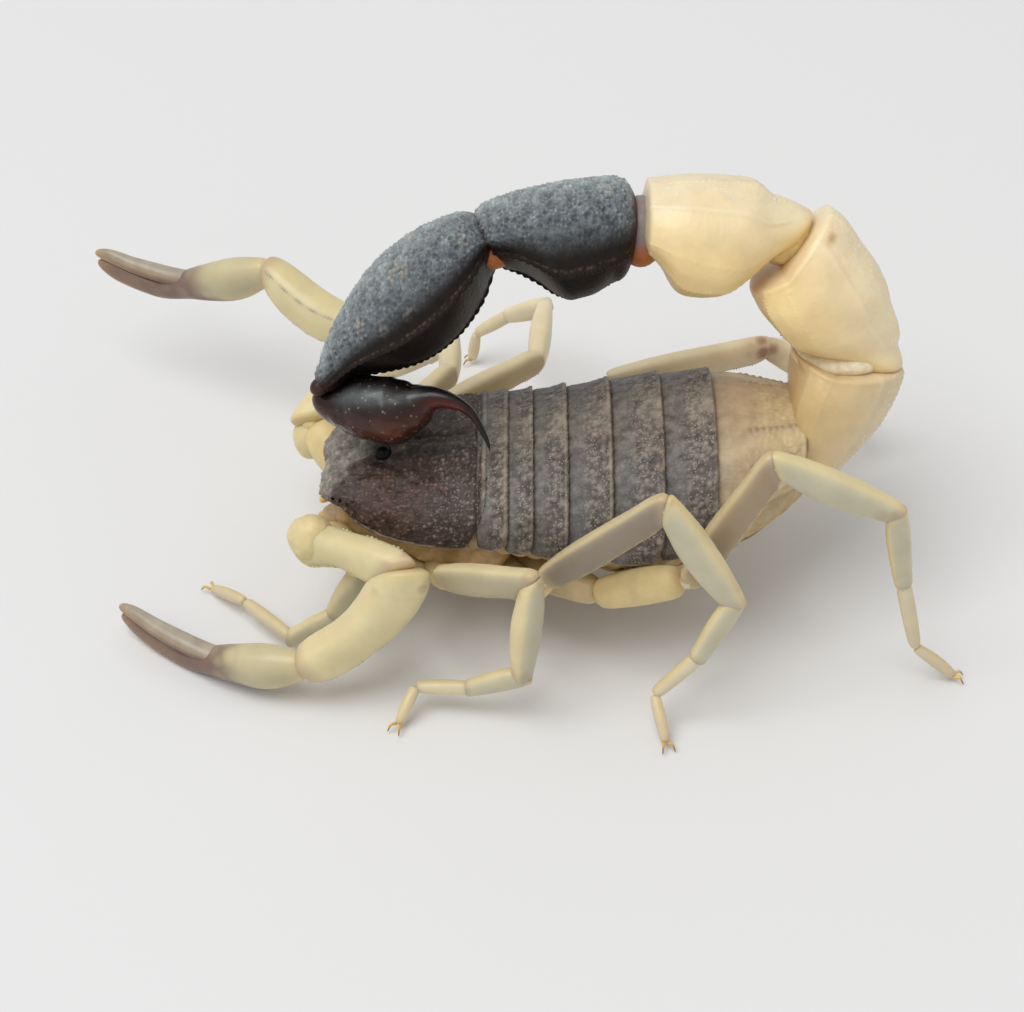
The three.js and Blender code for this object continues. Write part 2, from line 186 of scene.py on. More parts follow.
@dataclass(frozen=True)
class Grain:
    """Rounded granules scattered through space, one to a cell.

    Attributes:
        size: The distance between granules.
        spread: How far a granule lies from its cell's middle, 0 to 1.
        seed: Which scatter.
    """

    WAVES = 2.9  # how fast the net's waves turn from cell to cell
    WOBBLE = 0.16  # how far they push its threads, in cells

    size: float
    spread: float = 0.7
    seed: int = 1

    def scatter(self, cell: Array) -> Array:
        """Three even random numbers for each cell.

        Args:
            cell: The cells, an (n, 3) array.

        Returns:
            An (n, 3) array.
        """
        mixed = [cell @ row + self.seed for row in HASH_ROWS]
        value = np.sin(np.stack(mixed, axis=1)) * HASH_SCALE
        return value - np.floor(value)

    def cells(self, points: Array) -> tuple[Array, Array]:
        """The nearest granule to each point.

        Args:
            points: An (n, 3) array.

        Returns:
            The distance in cells, how much farther the next granule is, and the nearest one's own
            random number.
        """
        scaled = points / self.size
        home = np.floor(scaled)
        nearest = np.full(len(points), np.inf)
        second = nearest.copy()
        number = np.zeros(len(points))
        for step in itertools.product((-1, 0, 1), repeat=3):
            cell = home + np.array(step)
            chance = self.scatter(cell)
            middle = cell + 0.5 + (chance - 0.5) * self.spread
            distance = np.linalg.norm(scaled - middle, axis=1)
            closer = distance < nearest
            second = np.where(closer, nearest, np.minimum(second, distance))
            nearest = np.where(closer, distance, nearest)
            number = np.where(closer, chance[:, 0], number)
        return nearest, second - nearest, number

    def domes(self, points: Array) -> Array:
        """Granule height at each point, 0 between granules and up to 1 on them."""
        distance, _, number = self.cells(points)
        return smooth(1 - distance, 0.3, 0.85) * (0.55 + 0.45 * number)

    def net(self, points: Array) -> Array:
        """The height of a wavy net between the cells, 0 in its pits and 1 on its threads.

        Args:
            points: An (n, 3) array.

        Returns:
            One height for each point.
        """
        waves = np.sin(points[:, [1, 2, 0]] * self.WAVES / self.size + np.array([1.0, 2.0, 3.0]))
        distance, gap, _ = self.cells(points + self.WOBBLE * self.size * waves)
        return smooth(0.55 - gap, 0.0, 0.5) * smooth(distance, 0.1, 0.45)


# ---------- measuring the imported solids


LEAST_FACE = 0.05  # square millimetres
LEAST_TRIANGLE = 1e-7  # square millimetres
SAME_WAY = 0.9995  # cosine between the directions of two parts of one flat face
OPPOSED = -0.999  # the same between the two faces of a joint
FLAT = 0.01  # millimetres between the planes of two parts of one flat face


def coordinates(mesh: bpy.types.Mesh, what: str = "co") -> Array:
    """A mesh's points or their normals, as an (n, 3) array.

    Args:
        mesh: The mesh.
        what: "co" or "normal".

    Returns:
        An (n, 3) array.
    """
    flat = np.empty(len(mesh.vertices) * 3)
    mesh.vertices.foreach_get(what, flat)
    return flat.reshape(-1, 3)


def corners(node: str) -> Array:
    """All corners of a CAD node, in millimetres."""
    return coordinates(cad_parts[node].data) / MM


@dataclass(frozen=True)
class Joint:
    """A joint's middle, and the direction in which the limb runs through it.

    A flat face of a CAD node is one too: its middle and its outward direction.
    """

    point: Array
    normal: Array


def flat_faces(node: str) -> list[Joint]:
    """The flat faces of a CAD node, save the very small ones.

    Args:
        node: The node's name.

    Returns:
        The faces.
    """
    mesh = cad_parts[node].data
    mesh.calc_loop_triangles()
    index = np.empty(len(mesh.loop_triangles) * 3, dtype=int)
    mesh.loop_triangles.foreach_get("vertices", index)
    points = corners(node)[index.reshape(-1, 3)]
    cross = np.cross(points[:, 1] - points[:, 0], points[:, 2] - points[:, 0])
    area = np.linalg.norm(cross, axis=1) / 2
    normal = cross / np.maximum(2 * area, 1e-12)[:, None]
    centre = points.mean(axis=1)
    offset = (normal * centre).sum(axis=1)
    left = area > LEAST_TRIANGLE
    found = []
    while left.any():
        first = int(np.argmax(np.where(left, area, 0)))
        same = left & (normal @ normal[first] > SAME_WAY) & (np.abs(offset - offset[first]) < FLAT)
        total = area[same].sum()
        if total > LEAST_FACE:
            found.append(Joint((centre[same] * area[same, None]).sum(axis=0) / total, normal[first]))
        left &= ~same
    return found


def joint_between(first: str, second: str) -> Joint:
    """The joint between two CAD nodes, from the two parallel faces that meet there.

    Args:
        first: The node before the joint.
        second: The node after it.

    Returns:
        The joint.
    """
    pairs = [(a, b) for a, b in itertools.product(flat_faces(first), flat_faces(second))
             if a.normal @ b.normal < OPPOSED]
    a, b = min(pairs, key=lambda pair: np.linalg.norm(pair[0].point - pair[1].point))
    return Joint((a.point + b.point) / 2, a.normal)


# ---------- meshes


def unit(vector: Array) -> Array:
    """A vector of length one in the same direction."""
    return vector / np.linalg.norm(vector)


@dataclass
class Link:
    """A stretch between two joints, with a frame of its own: across, along and over.

    Attributes:
        start: The joint it begins at.
        end: The joint it ends at.
        over: Roughly where its upper side points.
    """

    STEEPEST = 0.8  # how far the slope of its mitred ends may go
    LEAST_FACING = 0.2  # cosine between the link and a joint's direction
    SHORTEST = 0.05  # millimetres left between its two ends

    start: Joint
    end: Joint
    over: Array = field(default_factory=UP.copy)

    def __post_init__(self) -> None:
        """Works out the link's length and axes."""
        span = self.end.point - self.start.point
        self.length = float(np.linalg.norm(span))
        self.along = span / self.length
        self.across = unit(np.cross(self.along, self.over))
        self.top = np.cross(self.across, self.along)

    def local(self, points: Array) -> Array:
        """Points of the animal's frame, seen from the link's."""
        away = points - self.start.point
        return np.stack([away @ self.across, away @ self.along, away @ self.top], axis=1)

    def world(self, x: Array, y: Array, z: Array) -> Array:
        """Points of the link's frame, brought to the animal's."""
        return self.start.point + x[:, None] * self.across + y[:, None] * self.along + z[:, None] * self.top

    def slope(self, normal: Array, x: Array, z: Array) -> Array:
        """How far a mitred end lies ahead of its joint at a place across it.

        Args:
            normal: The joint's direction.
            x: Distance across.
            z: Height over the axis.

        Returns:
            The distance along.
        """
        forward = max(float(normal @ self.along), self.LEAST_FACING)
        sideways, upward = (float(np.clip(-(normal @ way) / forward, -self.STEEPEST, self.STEEPEST))
                            for way in (self.across, self.top))
        return sideways * x + upward * z

    def place(self, x: Array, s: Array, z: Array, inset: tuple[Array, Array]) -> Array:
        """Points at a share s of the way between the two mitred ends.

        Args:
            x: Distance across.
            s: 0 at the start and 1 at the end.
            z: Height over the axis.
            inset: How far the two ends lie inside their joints.

        Returns:
            An (n, 3) array in the animal's frame.
        """
        low = inset[0] + self.slope(self.start.normal, x, z)
        high = self.length - inset[1] + self.slope(self.end.normal, x, z)
        return self.world(x, low + s * np.maximum(high - low, self.SHORTEST), z)


def deselect() -> None:
    """Leaves nothing selected."""
    if bpy.context.mode != "OBJECT":
        bpy.ops.object.mode_set(mode="OBJECT")
    bpy.ops.object.select_all(action="DESELECT")


def turn_outwards(piece: bpy.types.Object) -> None:
    """Makes all faces of a piece point outwards.

    Args:
        piece: The piece.
    """
    deselect()
    piece.select_set(True)
    bpy.context.view_layer.objects.active = piece
    bpy.ops.object.mode_set(mode="EDIT")
    bpy.ops.mesh.select_all(action="SELECT")
    bpy.ops.mesh.normals_make_consistent(inside=False)
    bpy.ops.object.mode_set(mode="OBJECT")


class Skin:
    """A closed mesh drawn out of a sphere, each point known by its place along and around.

    Attributes:
        s: 0 at the start and 1 at the end, for each point.
        a: The angle around, 0 on top and a quarter turn towards across.
        points: The points, in millimetres.
    """

    def __init__(self, name: str, rings: int, sides: int,
                 shape: Callable[[Array, Array], Array]) -> None:
        """Draws a sphere out to a shape.

        Args:
            name: The piece's name.
            rings: Steps along.
            sides: Steps around.
            shape: Gives the (n, 3) points for arrays of s and a.
        """
        deselect()
        bpy.ops.mesh.primitive_uv_sphere_add(segments=sides, ring_count=rings, radius=1)
        self.piece = bpy.context.active_object
        self.piece.name = name
        self.piece.data.name = name
        ball = coordinates(self.piece.data)
        self.s = np.arccos(np.clip(-ball[:, 2], -1, 1)) / math.pi
        around = np.arctan2(ball[:, 1], ball[:, 0]) + math.pi / 2
        self.a = np.where(around > math.pi, around - 2 * math.pi, around)
        self.points = shape(self.s, self.a)
        self.write()
        turn_outwards(self.piece)

    def write(self) -> None:
        """Puts the points back into the mesh."""
        self.piece.data.vertices.foreach_set("co", self.points.astype(np.float32).ravel())
        self.piece.data.update()

    def push(self, height: Array) -> "Skin":
        """Moves each point outwards by its own height.

        Args:
            height: One for each point.

        Returns:
            The skin itself.
        """
        self.points = self.points + coordinates(self.piece.data, "normal") * np.asarray(height)[:, None]
        self.write()
        return self

    def paint(self, colours: Array, grit: Array = 1.0) -> "Skin":
        """Gives each point its colour, and its share of the finish's pale grit."""
        tint(self.piece, colours, grit)
        return self

    def done(self, finish: "Shell", *nodes: str) -> None:
        """Dresses the piece and hands it over, in place of the named CAD nodes."""
        hand_over(self.piece, finish, *nodes)


def tint(piece: bpy.types.Object, colours: Array, grit: Array = 1.0) -> None:
    """Stores a colour for each point of a piece, with the share of pale grit as its alpha.

    Args:
        piece: The piece.
        colours: One colour or an (n, 3) array.
        grit: One share or one for each point.
    """
    count = len(piece.data.vertices)
    rgb = np.broadcast_to(np.asarray(colours, float), (count, 3))
    alpha = np.broadcast_to(np.asarray(grit, float), (count,))[:, None]
    rgba = np.clip(np.concatenate([rgb, alpha], axis=1), 0, 1)
    layer = piece.data.color_attributes.new(name="Tint", type="FLOAT_COLOR", domain="POINT")
    layer.data.foreach_set("color", rgba.astype(np.float32).ravel())


def hand_over(piece: bpy.types.Object, finish: "Shell", *nodes: str) -> None:
    """Scales a piece to metres, dresses it and ties it to the frame.

    Args:
        piece: What is handed over.
        finish: Its material and slot.
        nodes: The CAD nodes that it stands for.
    """
    piece.data.transform(Matrix.Scale(MM, 4))
    piece.data.materials.clear()
    piece.data.materials.append(finish.material())
    piece.data.polygons.foreach_set("use_smooth", [True] * len(piece.data.polygons))
    piece.data.update()
    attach(piece, "root")
    if nodes:
        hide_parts(*nodes)
    LOG.info("%s: %d faces", piece.name, len(piece.data.polygons))


def copies(name: str, seed: tuple[Array, list], places: Iterable[tuple[Array, Array, float]],
           colour: Colour) -> bpy.types.Object:
    """One mesh of many copies of a small shape.

    Args:
        name: The piece's name.
        seed: The small shape's points and faces, standing along +Z.
        places: For each copy its foot, its direction times its length, and its half width.
        colour: The colour of all of it.

    Returns:
        The piece.
    """
    points, faces = seed
    rows, polygons = [], []
    for foot, spike, width in places:
        axis = unit(spike)
        helper = UP if abs(axis @ UP) < UPRIGHT else np.array([1.0, 0.0, 0.0])
        right = unit(np.cross(axis, helper))
        front = np.cross(axis, right)
        start = len(rows) * len(points)
        rows.append(foot + points[:, :1] * right * width + points[:, 1:2] * front * width
                    + points[:, 2:] * spike)
        polygons.extend(tuple(start + i for i in face) for face in faces)
    mesh = bpy.data.meshes.new(name)
    mesh.from_pydata(np.concatenate(rows).tolist(), [], polygons)
    piece = bpy.data.objects.new(name, mesh)
    bpy.context.scene.collection.objects.link(piece)
    tint(piece, np.array(colour))
    return piece


def seed_of_active() -> tuple[Array, list]:
    """The points and faces of the small piece that was just made, which is then removed.

    Returns:
        An (n, 3) array and the faces.
    """
    piece = bpy.context.active_object
    points = coordinates(piece.data)
    faces = [tuple(face.vertices) for face in piece.data.polygons]
    bpy.data.objects.remove(piece, do_unlink=True)
    return points, faces


def cone_seed(sides: int, tip: float = 0.12) -> tuple[Array, list]:
    """A blunted cone of unit length and unit radius that stands on the origin.

    Args:
        sides: How many sides it has.
        tip: The radius of its top.

    Returns:
        Its points and faces.
    """
    deselect()
    bpy.ops.mesh.primitive_cone_add(vertices=sides, radius1=1, radius2=tip, depth=1, location=(0, 0, 0.5))
    bpy.ops.object.transform_apply(location=True)
    return seed_of_active()


def bead_seed() -> tuple[Array, list]:
    """A small round bead of unit radius.

    Returns:
        Its points and faces.
    """
    deselect()
    bpy.ops.mesh.primitive_uv_sphere_add(segments=8, ring_count=6, radius=1)
    return seed_of_active()


def join(pieces: Sequence[bpy.types.Object], name: str) -> bpy.types.Object:
    """Joins pieces into one of the given name.

    Args:
        pieces: The pieces.
        name: The name.

    Returns:
        The joined piece.
    """
    deselect()
    for piece in pieces:
        piece.select_set(True)
    bpy.context.view_layer.objects.active = pieces[0]
    bpy.ops.object.join()
    pieces[0].name = name
    pieces[0].data.name = name
    return pieces[0]


# ---------- finishes


Socket = bpy.types.NodeSocket
COAT_ROUGHNESS = 0.08
PATCH_DETAIL, PORE_DETAIL = 5.0, 3.0
NOISE_LOW, NOISE_HIGH = 0.3, 0.7  # where most of a noise lies
WEAR = 0.15  # how far the roughness wanders either way
PORE_STRENGTH, GRAIN_STRENGTH = 0.6, 0.8
GRAIN_EDGE, GRAIN_TOP = 0.5, 0.2  # distances from a grain's middle, in cells
GLOW_SPREAD = (1.0, 0.7, 0.35)  # how far red, green and blue light pass under the surface
GRAIN_HEIGHT = 0.012  # millimetres


def feed(node: bpy.types.Node, inputs: dict[Any, Any]) -> None:
    """Sets a node's inputs to numbers and colours, or links them to other nodes' outputs.

    Args:
        node: The node.
        inputs: The value for each input.
    """
    for key, value in inputs.items():
        if isinstance(value, Socket):
            node.id_data.links.new(value, node.inputs[key])
        else:
            node.inputs[key].default_value = value


def add_node(tree: bpy.types.NodeTree, kind: str, inputs: Any = None, **settings: str) -> bpy.types.Node:
    """Adds a shader node.

    Args:
        tree: The material's nodes.
        kind: The end of the node type's name.
        inputs: What its inputs are set or linked to.
        settings: Its other properties, which are set first.

    Returns:
        The node.
    """
    made = tree.nodes.new(f"ShaderNode{kind}")
    for name, value in settings.items():
        setattr(made, name, value)
    feed(made, inputs or {})
    return made


@dataclass(frozen=True)
class Shell:
    """A finish of the animal's shell. The colour comes from each piece's Tint, with fine mottling.

    Attributes:
        label: The material's name.
        slot: The record's slot that it belongs to.
        roughness: How dull it is.
        glaze: The share of clear gloss on top.
        glow: The share of light that passes under the surface.
        depth: How far that light goes, in millimetres.
        mottle: How strongly fine noise darkens and lightens the colour.
        patch: The size of the mottling, in millimetres.
        pores: The height of fine unevenness, in millimetres.
        pore: The size of that unevenness, in millimetres.
        shine: The specular level.
        grit: The strength of the pale grains on top of the colour.
        grain: The distance between those grains, in millimetres.
        grain_colour: Their colour.
        rarity: The share of cells left without a grain.
    """

    label: str
    slot: Slot
    roughness: float = 0.5
    glaze: float = 0.0
    glow: float = 0.0
    depth: float = 0.3
    mottle: float = 0.2
    patch: float = 0.35
    pores: float = 0.004
    pore: float = 0.05
    shine: float = 0.5
    grit: float = 0.0
    grain: float = 0.09
    grain_colour: Colour = INK.granule
    rarity: float = 0.15

    def material(self) -> bpy.types.Material:
        """The finish as a material, made once.

        Returns:
            The material.
        """
        known = bpy.data.materials.get(self.label)
        if known:
            return known
        made = bpy.data.materials.new(self.label)
        made.use_nodes = True
        tree = made.node_tree
        shader = tree.nodes["Principled BSDF"]
        feed(shader, {"Coat Weight": self.glaze, "Coat Roughness": COAT_ROUGHNESS,
                      "Specular IOR Level": self.shine, "Subsurface Weight": self.glow,
                      "Subsurface Radius": GLOW_SPREAD, "Subsurface Scale": self.depth * MM})
        place = add_node(tree, "TexCoord").outputs["Object"]
        pigment = add_node(tree, "Attribute", attribute_name="Tint")
        shade = self.noise(tree, place, self.patch, PATCH_DETAIL)
        tone = self.mapped(tree, shade, 1 - self.mottle, 1 + self.mottle)
        colour = add_node(tree, "Mix", {"Factor": 1.0, "A": pigment.outputs["Color"], "B": tone},
                          data_type="RGBA", blend_type="MULTIPLY").outputs["Result"]
        rough = self.noise(tree, place, self.pore, PORE_DETAIL)
        wear = self.mapped(tree, rough, self.roughness * (1 - WEAR), min(self.roughness * (1 + WEAR), 1.0))
        relief = add_node(tree, "Bump", {"Strength": PORE_STRENGTH, "Distance": self.pores * MM,
                                         "Height": rough})
        normal = relief.outputs["Normal"]
        if self.grit:
            colour, normal = self.sprinkle(tree, place, pigment.outputs["Alpha"], colour, normal)
        feed(shader, {"Base Color": colour, "Roughness": wear, "Normal": normal})
        return made

    def sprinkle(self, tree: bpy.types.NodeTree, place: Socket, allowed: Socket, colour: Socket,
                 normal: Socket) -> tuple[Socket, Socket]:
        """Scatters pale raised grains over the colour.

        Args:
            tree: The material's nodes.
            place: Where a point lies on its piece.
            allowed: How many grains the place may have, 0 to 1.
            colour: The colour under the grains.
            normal: The relief under them.

        Returns:
            The colour and the relief with the grains.
        """
        cells = add_node(tree, "TexVoronoi", {"Scale": 1 / (self.grain * MM), "Vector": place})
        dome = add_node(tree, "MapRange", {
            "From Min": GRAIN_EDGE, "From Max": GRAIN_TOP, "Value": cells.outputs["Distance"]})
        apart = add_node(tree, "SeparateColor", {"Color": cells.outputs["Color"]})
        chance = add_node(tree, "MapRange", {
            "From Min": self.rarity, "From Max": self.rarity + 0.6 * (1 - self.rarity),
            "Value": apart.outputs["Red"]})
        share = dome.outputs["Result"]
        for factor in (chance.outputs["Result"], allowed, self.grit):
            share = add_node(tree, "Math", {0: share, 1: factor}, operation="MULTIPLY").outputs["Value"]
        pale = add_node(tree, "Mix", {"B": (*self.grain_colour, 1.0), "Factor": share, "A": colour},
                        data_type="RGBA")
        raised = add_node(tree, "Bump", {"Strength": GRAIN_STRENGTH, "Distance": GRAIN_HEIGHT * MM,
                                         "Height": share, "Normal": normal})
        return pale.outputs["Result"], raised.outputs["Normal"]

    def noise(self, tree: bpy.types.NodeTree, place: Socket, size: float, detail: float) -> Socket:
        """A noise of the given size in millimetres, fixed to the piece."""
        made = add_node(tree, "TexNoise", {"Scale": 1 / (size * MM), "Detail": detail, "Vector": place})
        return made.outputs["Fac"]

    def mapped(self, tree: bpy.types.NodeTree, source: Socket, low: float, high: float) -> Socket:
        """The noise's usual range brought to low and high.

        Args:
            tree: The material's nodes.
            source: The noise.
            low: The lower end.
            high: The upper end.

        Returns:
            The mapped noise.
        """
        made = add_node(tree, "MapRange", {"From Min": NOISE_LOW, "From Max": NOISE_HIGH, "To Min": low,
                                           "To Max": high, "Value": source})
        return made.outputs["Result"]


DARK_PLATE = Shell("dark granular plate", Slot.DARK_PLATE, roughness=0.5, mottle=0.45, patch=0.3, shine=0.3,
                   grit=0.8, grain=0.066, rarity=0.45)
TAN_PLATE = Shell("tan granular plate", Slot.TAN_PLATE, roughness=0.45, glow=0.2, mottle=0.15, grit=0.35,
                  grain=0.1, grain_colour=INK.straw)
PALE_PLATE = Shell("pale soft plate", Slot.PALE_PLATE, roughness=0.42, glow=0.3, mottle=0.1, patch=0.6)
MEMBRANE = Shell("folded membrane", Slot.PALE_PLATE, roughness=0.5, glow=0.3, mottle=0.14, patch=0.2,
                 pores=0.01, pore=0.12)
PALE_TAIL = Shell("pale tail shell", Slot.PALE_TAIL, roughness=0.38, glow=0.35, depth=0.45, mottle=0.07,
                  patch=0.8, pores=0.003, grit=0.8, grain=0.11, grain_colour=INK.ivory, rarity=0.45)
DARK_TAIL = Shell("blue-black tail shell", Slot.DARK_TAIL, roughness=0.45, mottle=0.3, patch=0.3,
                  shine=0.18, grit=0.85, grain=0.08, grain_colour=INK.frost, rarity=0.1)
# The sting's pale grains are raised granules whose pale colour is also a painted highlight.
STING = Shell("dark red sting shell", Slot.STING, roughness=0.27, glaze=0.15, mottle=0.4, patch=0.6,
              pores=0.003, shine=0.35, grit=0.7, grain=0.085, grain_colour=INK.rim, rarity=0.9)
LIMB = Shell("pale limb shell", Slot.LIMB, roughness=0.36, glow=0.4, depth=0.5, mottle=0.06, patch=0.9,
             pores=0.002)
FINGER = Shell("smoky finger shell", Slot.FINGER, roughness=0.36, glow=0.25, mottle=0.14, patch=0.5,
               pores=0.002)
CLAW = replace(FINGER, slot=Slot.LIMB)
EYE = Shell("black eye", Slot.EYE, roughness=0.35, mottle=0.0, pores=0.0, shine=0.15)


# ---------- outlines


def oval(a: Array, half: Array, up: Array, down: Array, power: float = 2.0) -> tuple[Array, Array]:
    """Points on a rounded outline; a power over 2 makes it boxier.

    Args:
        a: The angle, 0 on top.
        half: Half the width.
        up: The height above the axis.
        down: The depth below it.
        power: 2 for an ellipse.

    Returns:
        The distances across and over the axis.
    """
    across, over = (np.sign(way) * np.abs(way) ** (2 / power) for way in (np.sin(a), np.cos(a)))
    return half * across, np.where(over > 0, up, down) * over


def rounded(reach: Array, rest: Array, radius: float) -> Array:
    """How far down a plate's side comes where its rear corner is rounded.

    Args:
        reach: The angle of the side from the top.
        rest: The distance from the rear edge.
        radius: The corner's radius.

    Returns:
        The angle of the side, less within the radius of the rear edge.
    """
    near = np.clip(1 - rest / radius, 0, 1)
    return reach - radius * (0.22 * smooth(near, 0, 0.7) + 0.5 * (1 - np.sqrt(1 - near ** 2)))


def cap(s: Array, power: float) -> Array:
    """One along most of a length and rounded down to nought at both ends."""
    return np.sqrt(np.clip(1 - np.abs(2 * s - 1) ** power, 0, 1))


# ---------- tail


def leftward(lean: float) -> Array:
    """The direction to the animal's left when rolled by some degrees towards its right."""
    return np.array([math.cos(math.radians(lean)), 0, math.sin(math.radians(lean))])


@dataclass
class TailSegment:
    """One ring of the tail.

    Attributes:
        node: Its CAD node.
        lean: How far it is rolled towards the animal's right, in degrees.
        half: Half its width at shares of its length, in millimetres.
        up: From its axis to its upper face, which is the inner side of the curl.
        down: From its axis to its lower face.
        dark: Whether it is one of the two dark ones.
        trough: The depth of the hollow along its upper face.
        gaps: How far its start lies inside the joint, how much more on its upper side, and the same
            two for its end.
        sallow: How much darker and browner it is than the other pale ones.
        mid: How far its axis lies above the line between its joints, along its length.
        spot: The place along and around of a brown spot.
    """

    KEEL, SIDE_KEEL, RIDGE, LOW_KEEL = np.radians((50, 84, 126, 163))  # from the top
    BEADS, TEETH = 32, 28  # on each keel
    SECTION, ENDS = 2.25, 30  # how boxy and how blunt it is
    GRAIN, BLOTCH = Grain(0.14, seed=3), Grain(1.5, seed=11)
    NET, BROAD = Grain(0.15, spread=0.9, seed=7), Grain(0.42, spread=1.0, seed=9)
    FINE, DUST = Grain(0.12, seed=8), Grain(1.1, spread=1.0, seed=31)

    node: str
    lean: float
    half: Stations
    up: Stations
    down: Stations
    dark: bool = False
    trough: float = 0.16
    gaps: tuple[float, float, float, float] = (-0.22, 0.15, 0.0, 0.12)
    sallow: float = 0.0
    mid: Stations = ((0, 0.0), (1, 0.0))
    spot: tuple[float, float] = (-1.0, 0.0)

    def build(self, start: Joint, end: Joint) -> None:
        """Makes the segment's shell between two joints.

        Args:
            start: Its first joint.
            end: Its second joint.
        """
        self.link = Link(start, end, np.cross(leftward(self.lean), unit(end.point - start.point)))

        def shape(s: Array, a: Array) -> Array:
            """The ring's points for arrays of s and a."""
            ends = cap(s, self.ENDS)
            half, up, down = (follow(s, row) * ends for row in (self.half, self.up, self.down))
            x, z = oval(a, half, up, down, self.SECTION)
            inner = np.clip(1 - (np.abs(a) / self.KEEL) ** 2, 0, 1)
            z = z - self.trough * inner * smooth(s, 0.02, 0.2) * smooth(1 - s, 0.02, 0.2)
            z = z + follow(s, self.mid)
            back = np.clip(z / 1.5, 0, 1)
            near, near_top, far, far_top = self.gaps
            return self.link.place(x, s, z, (near + near_top * back, far + far_top * back))

        name = f"{self.node}_shell"
        if self.dark:
            self.darken(Skin(name, 210, 310, shape))
        else:
            self.bead(Skin(name, 130, 190, shape))

    def bead(self, skin: Skin) -> None:
        """Raises beaded keels on a pale segment and colours it.

        Args:
            skin: The segment's skin.
        """
        s, a = skin.s, np.abs(skin.a)
        inside = smooth(s, 0.1, 0.2) * smooth(1 - s, 0.0, 0.06)
        beads = 0.4 + 0.6 * np.abs(np.sin(math.pi * s * self.BEADS))
        dotted = (bump(a, self.KEEL, 0.07) * 0.04 + bump(a, self.SIDE_KEEL, 0.04) * 0.018
                  + bump(a, self.LOW_KEEL, 0.05) * 0.045)
        ridge = bump(a, self.RIDGE, 0.045) * 0.05
        grain = self.GRAIN.domes(skin.points)
        fine = 0.012 * grain * (0.3 + 0.7 * smooth(a, 0.8, 1.6))
        lip = bump(s, 0.955, 0.02) * 0.05 * smooth(a, 0.5, 1.0)
        skin.push((dotted * beads + ridge + fine) * inside + lip)
        outer = smooth(a, 1.3, 2.4)
        blotch = self.BLOTCH.domes(skin.points)
        colour = layers(
            INK.butter, (INK.cream, 0.75 * outer),
            (INK.amber, 0.7 * smooth(1.1 - a, 0.1, 0.9) + 0.35 * smooth(0.12 - s, 0, 0.1)),
            (INK.cream, 0.5 * np.clip(ridge * 20, 0, 1) * inside + 0.5 * smooth(s, 0.93, 0.99)),
            (INK.amber, 0.15 * blotch), (INK.tan, self.sallow),
            (INK.ochre, 0.8 * bump(s, self.spot[0], 0.028) * bump(skin.a, self.spot[1], 0.12)))
        skin.paint(colour, 0.08 + smooth(a, 2.2, 2.7)).done(PALE_TAIL, self.node)

    def darken(self, skin: Skin) -> None:
        """Covers a dark segment in a wavy net of ridges with pits between and colours it: painted shade on
        the inner side of the curl, painted sky reflection and glints on the side that faces up.

        Args:
            skin: The segment's skin.
        """
        s, a = skin.s, np.abs(skin.a)
        inside = smooth(s, 0.03, 0.1) * smooth(1 - s, 0.0, 0.03)
        outside = smooth(a, self.KEEL + 0.25, self.KEEL + 0.9)
        # upper grows towards the outer side of the curl, which faces up; it carries the painted sky
        # reflection.
        upper = smooth(a, 1.6, 2.9)
        stretched = self.link.local(skin.points) * np.array([1.0, 0.7, 1.0])
        net = self.NET.net(stretched)
        broad = self.BROAD.domes(skin.points)
        fine = self.FINE.domes(skin.points)
        teeth = 0.5 + 0.5 * np.abs(np.sin(math.pi * s * self.TEETH))
        keel = bump(a, self.KEEL, 0.05) * teeth + 0.4 * bump(a, self.KEEL + 0.62, 0.06)
        leather = (0.05 + 0.035 * broad) * net * outside + (0.01 + 0.045 * outside) * fine
        skin.push((leather + 0.08 * keel) * inside)
        # Granule tips are lightened as painted glints.
        tip_glints = smooth(fine, 0.4, 0.9)
        # lift is the steel share: lighter ridges and granule tips as painted highlights, stronger on the
        # side that faces up.
        lift = ((0.08 + 0.25 * net + 0.6 * tip_glints) * (0.7 + 0.3 * upper)
                + (0.18 + 0.25 * broad) * (0.8 + 0.7 * upper))
        dusty = smooth(self.DUST.domes(skin.points), 0.66, 0.82) * smooth(fine, 0.0, 0.4)
        # Soot on the inner side is painted shade; steel and frost towards the upward side are painted sky
        # reflection and glints.
        colour = layers(
            INK.soot, (INK.ink, outside), (INK.steel, outside * np.clip(lift, 0, 1)),
            (INK.frost, upper * (0.28 + 0.25 * broad + 0.45 * tip_glints * (0.3 + 0.7 * broad))),
            (INK.dust, 0.7 * dusty * outside),
            (INK.smoke, 0.3 * fine * bump(a, self.KEEL + 0.1, 0.025) * inside),
            (INK.maroon, 0.8 * smooth(0.08 - s, 0.0, 0.06) + 0.7 * smooth(s, 0.93, 0.99)))
        # The pale frost grains crowd on the upward side as painted glints.
        grit = outside * inside * (0.12 + 0.5 * net) * (0.35 + 0.65 * upper)
        skin.paint(colour, grit).done(DARK_TAIL, self.node)


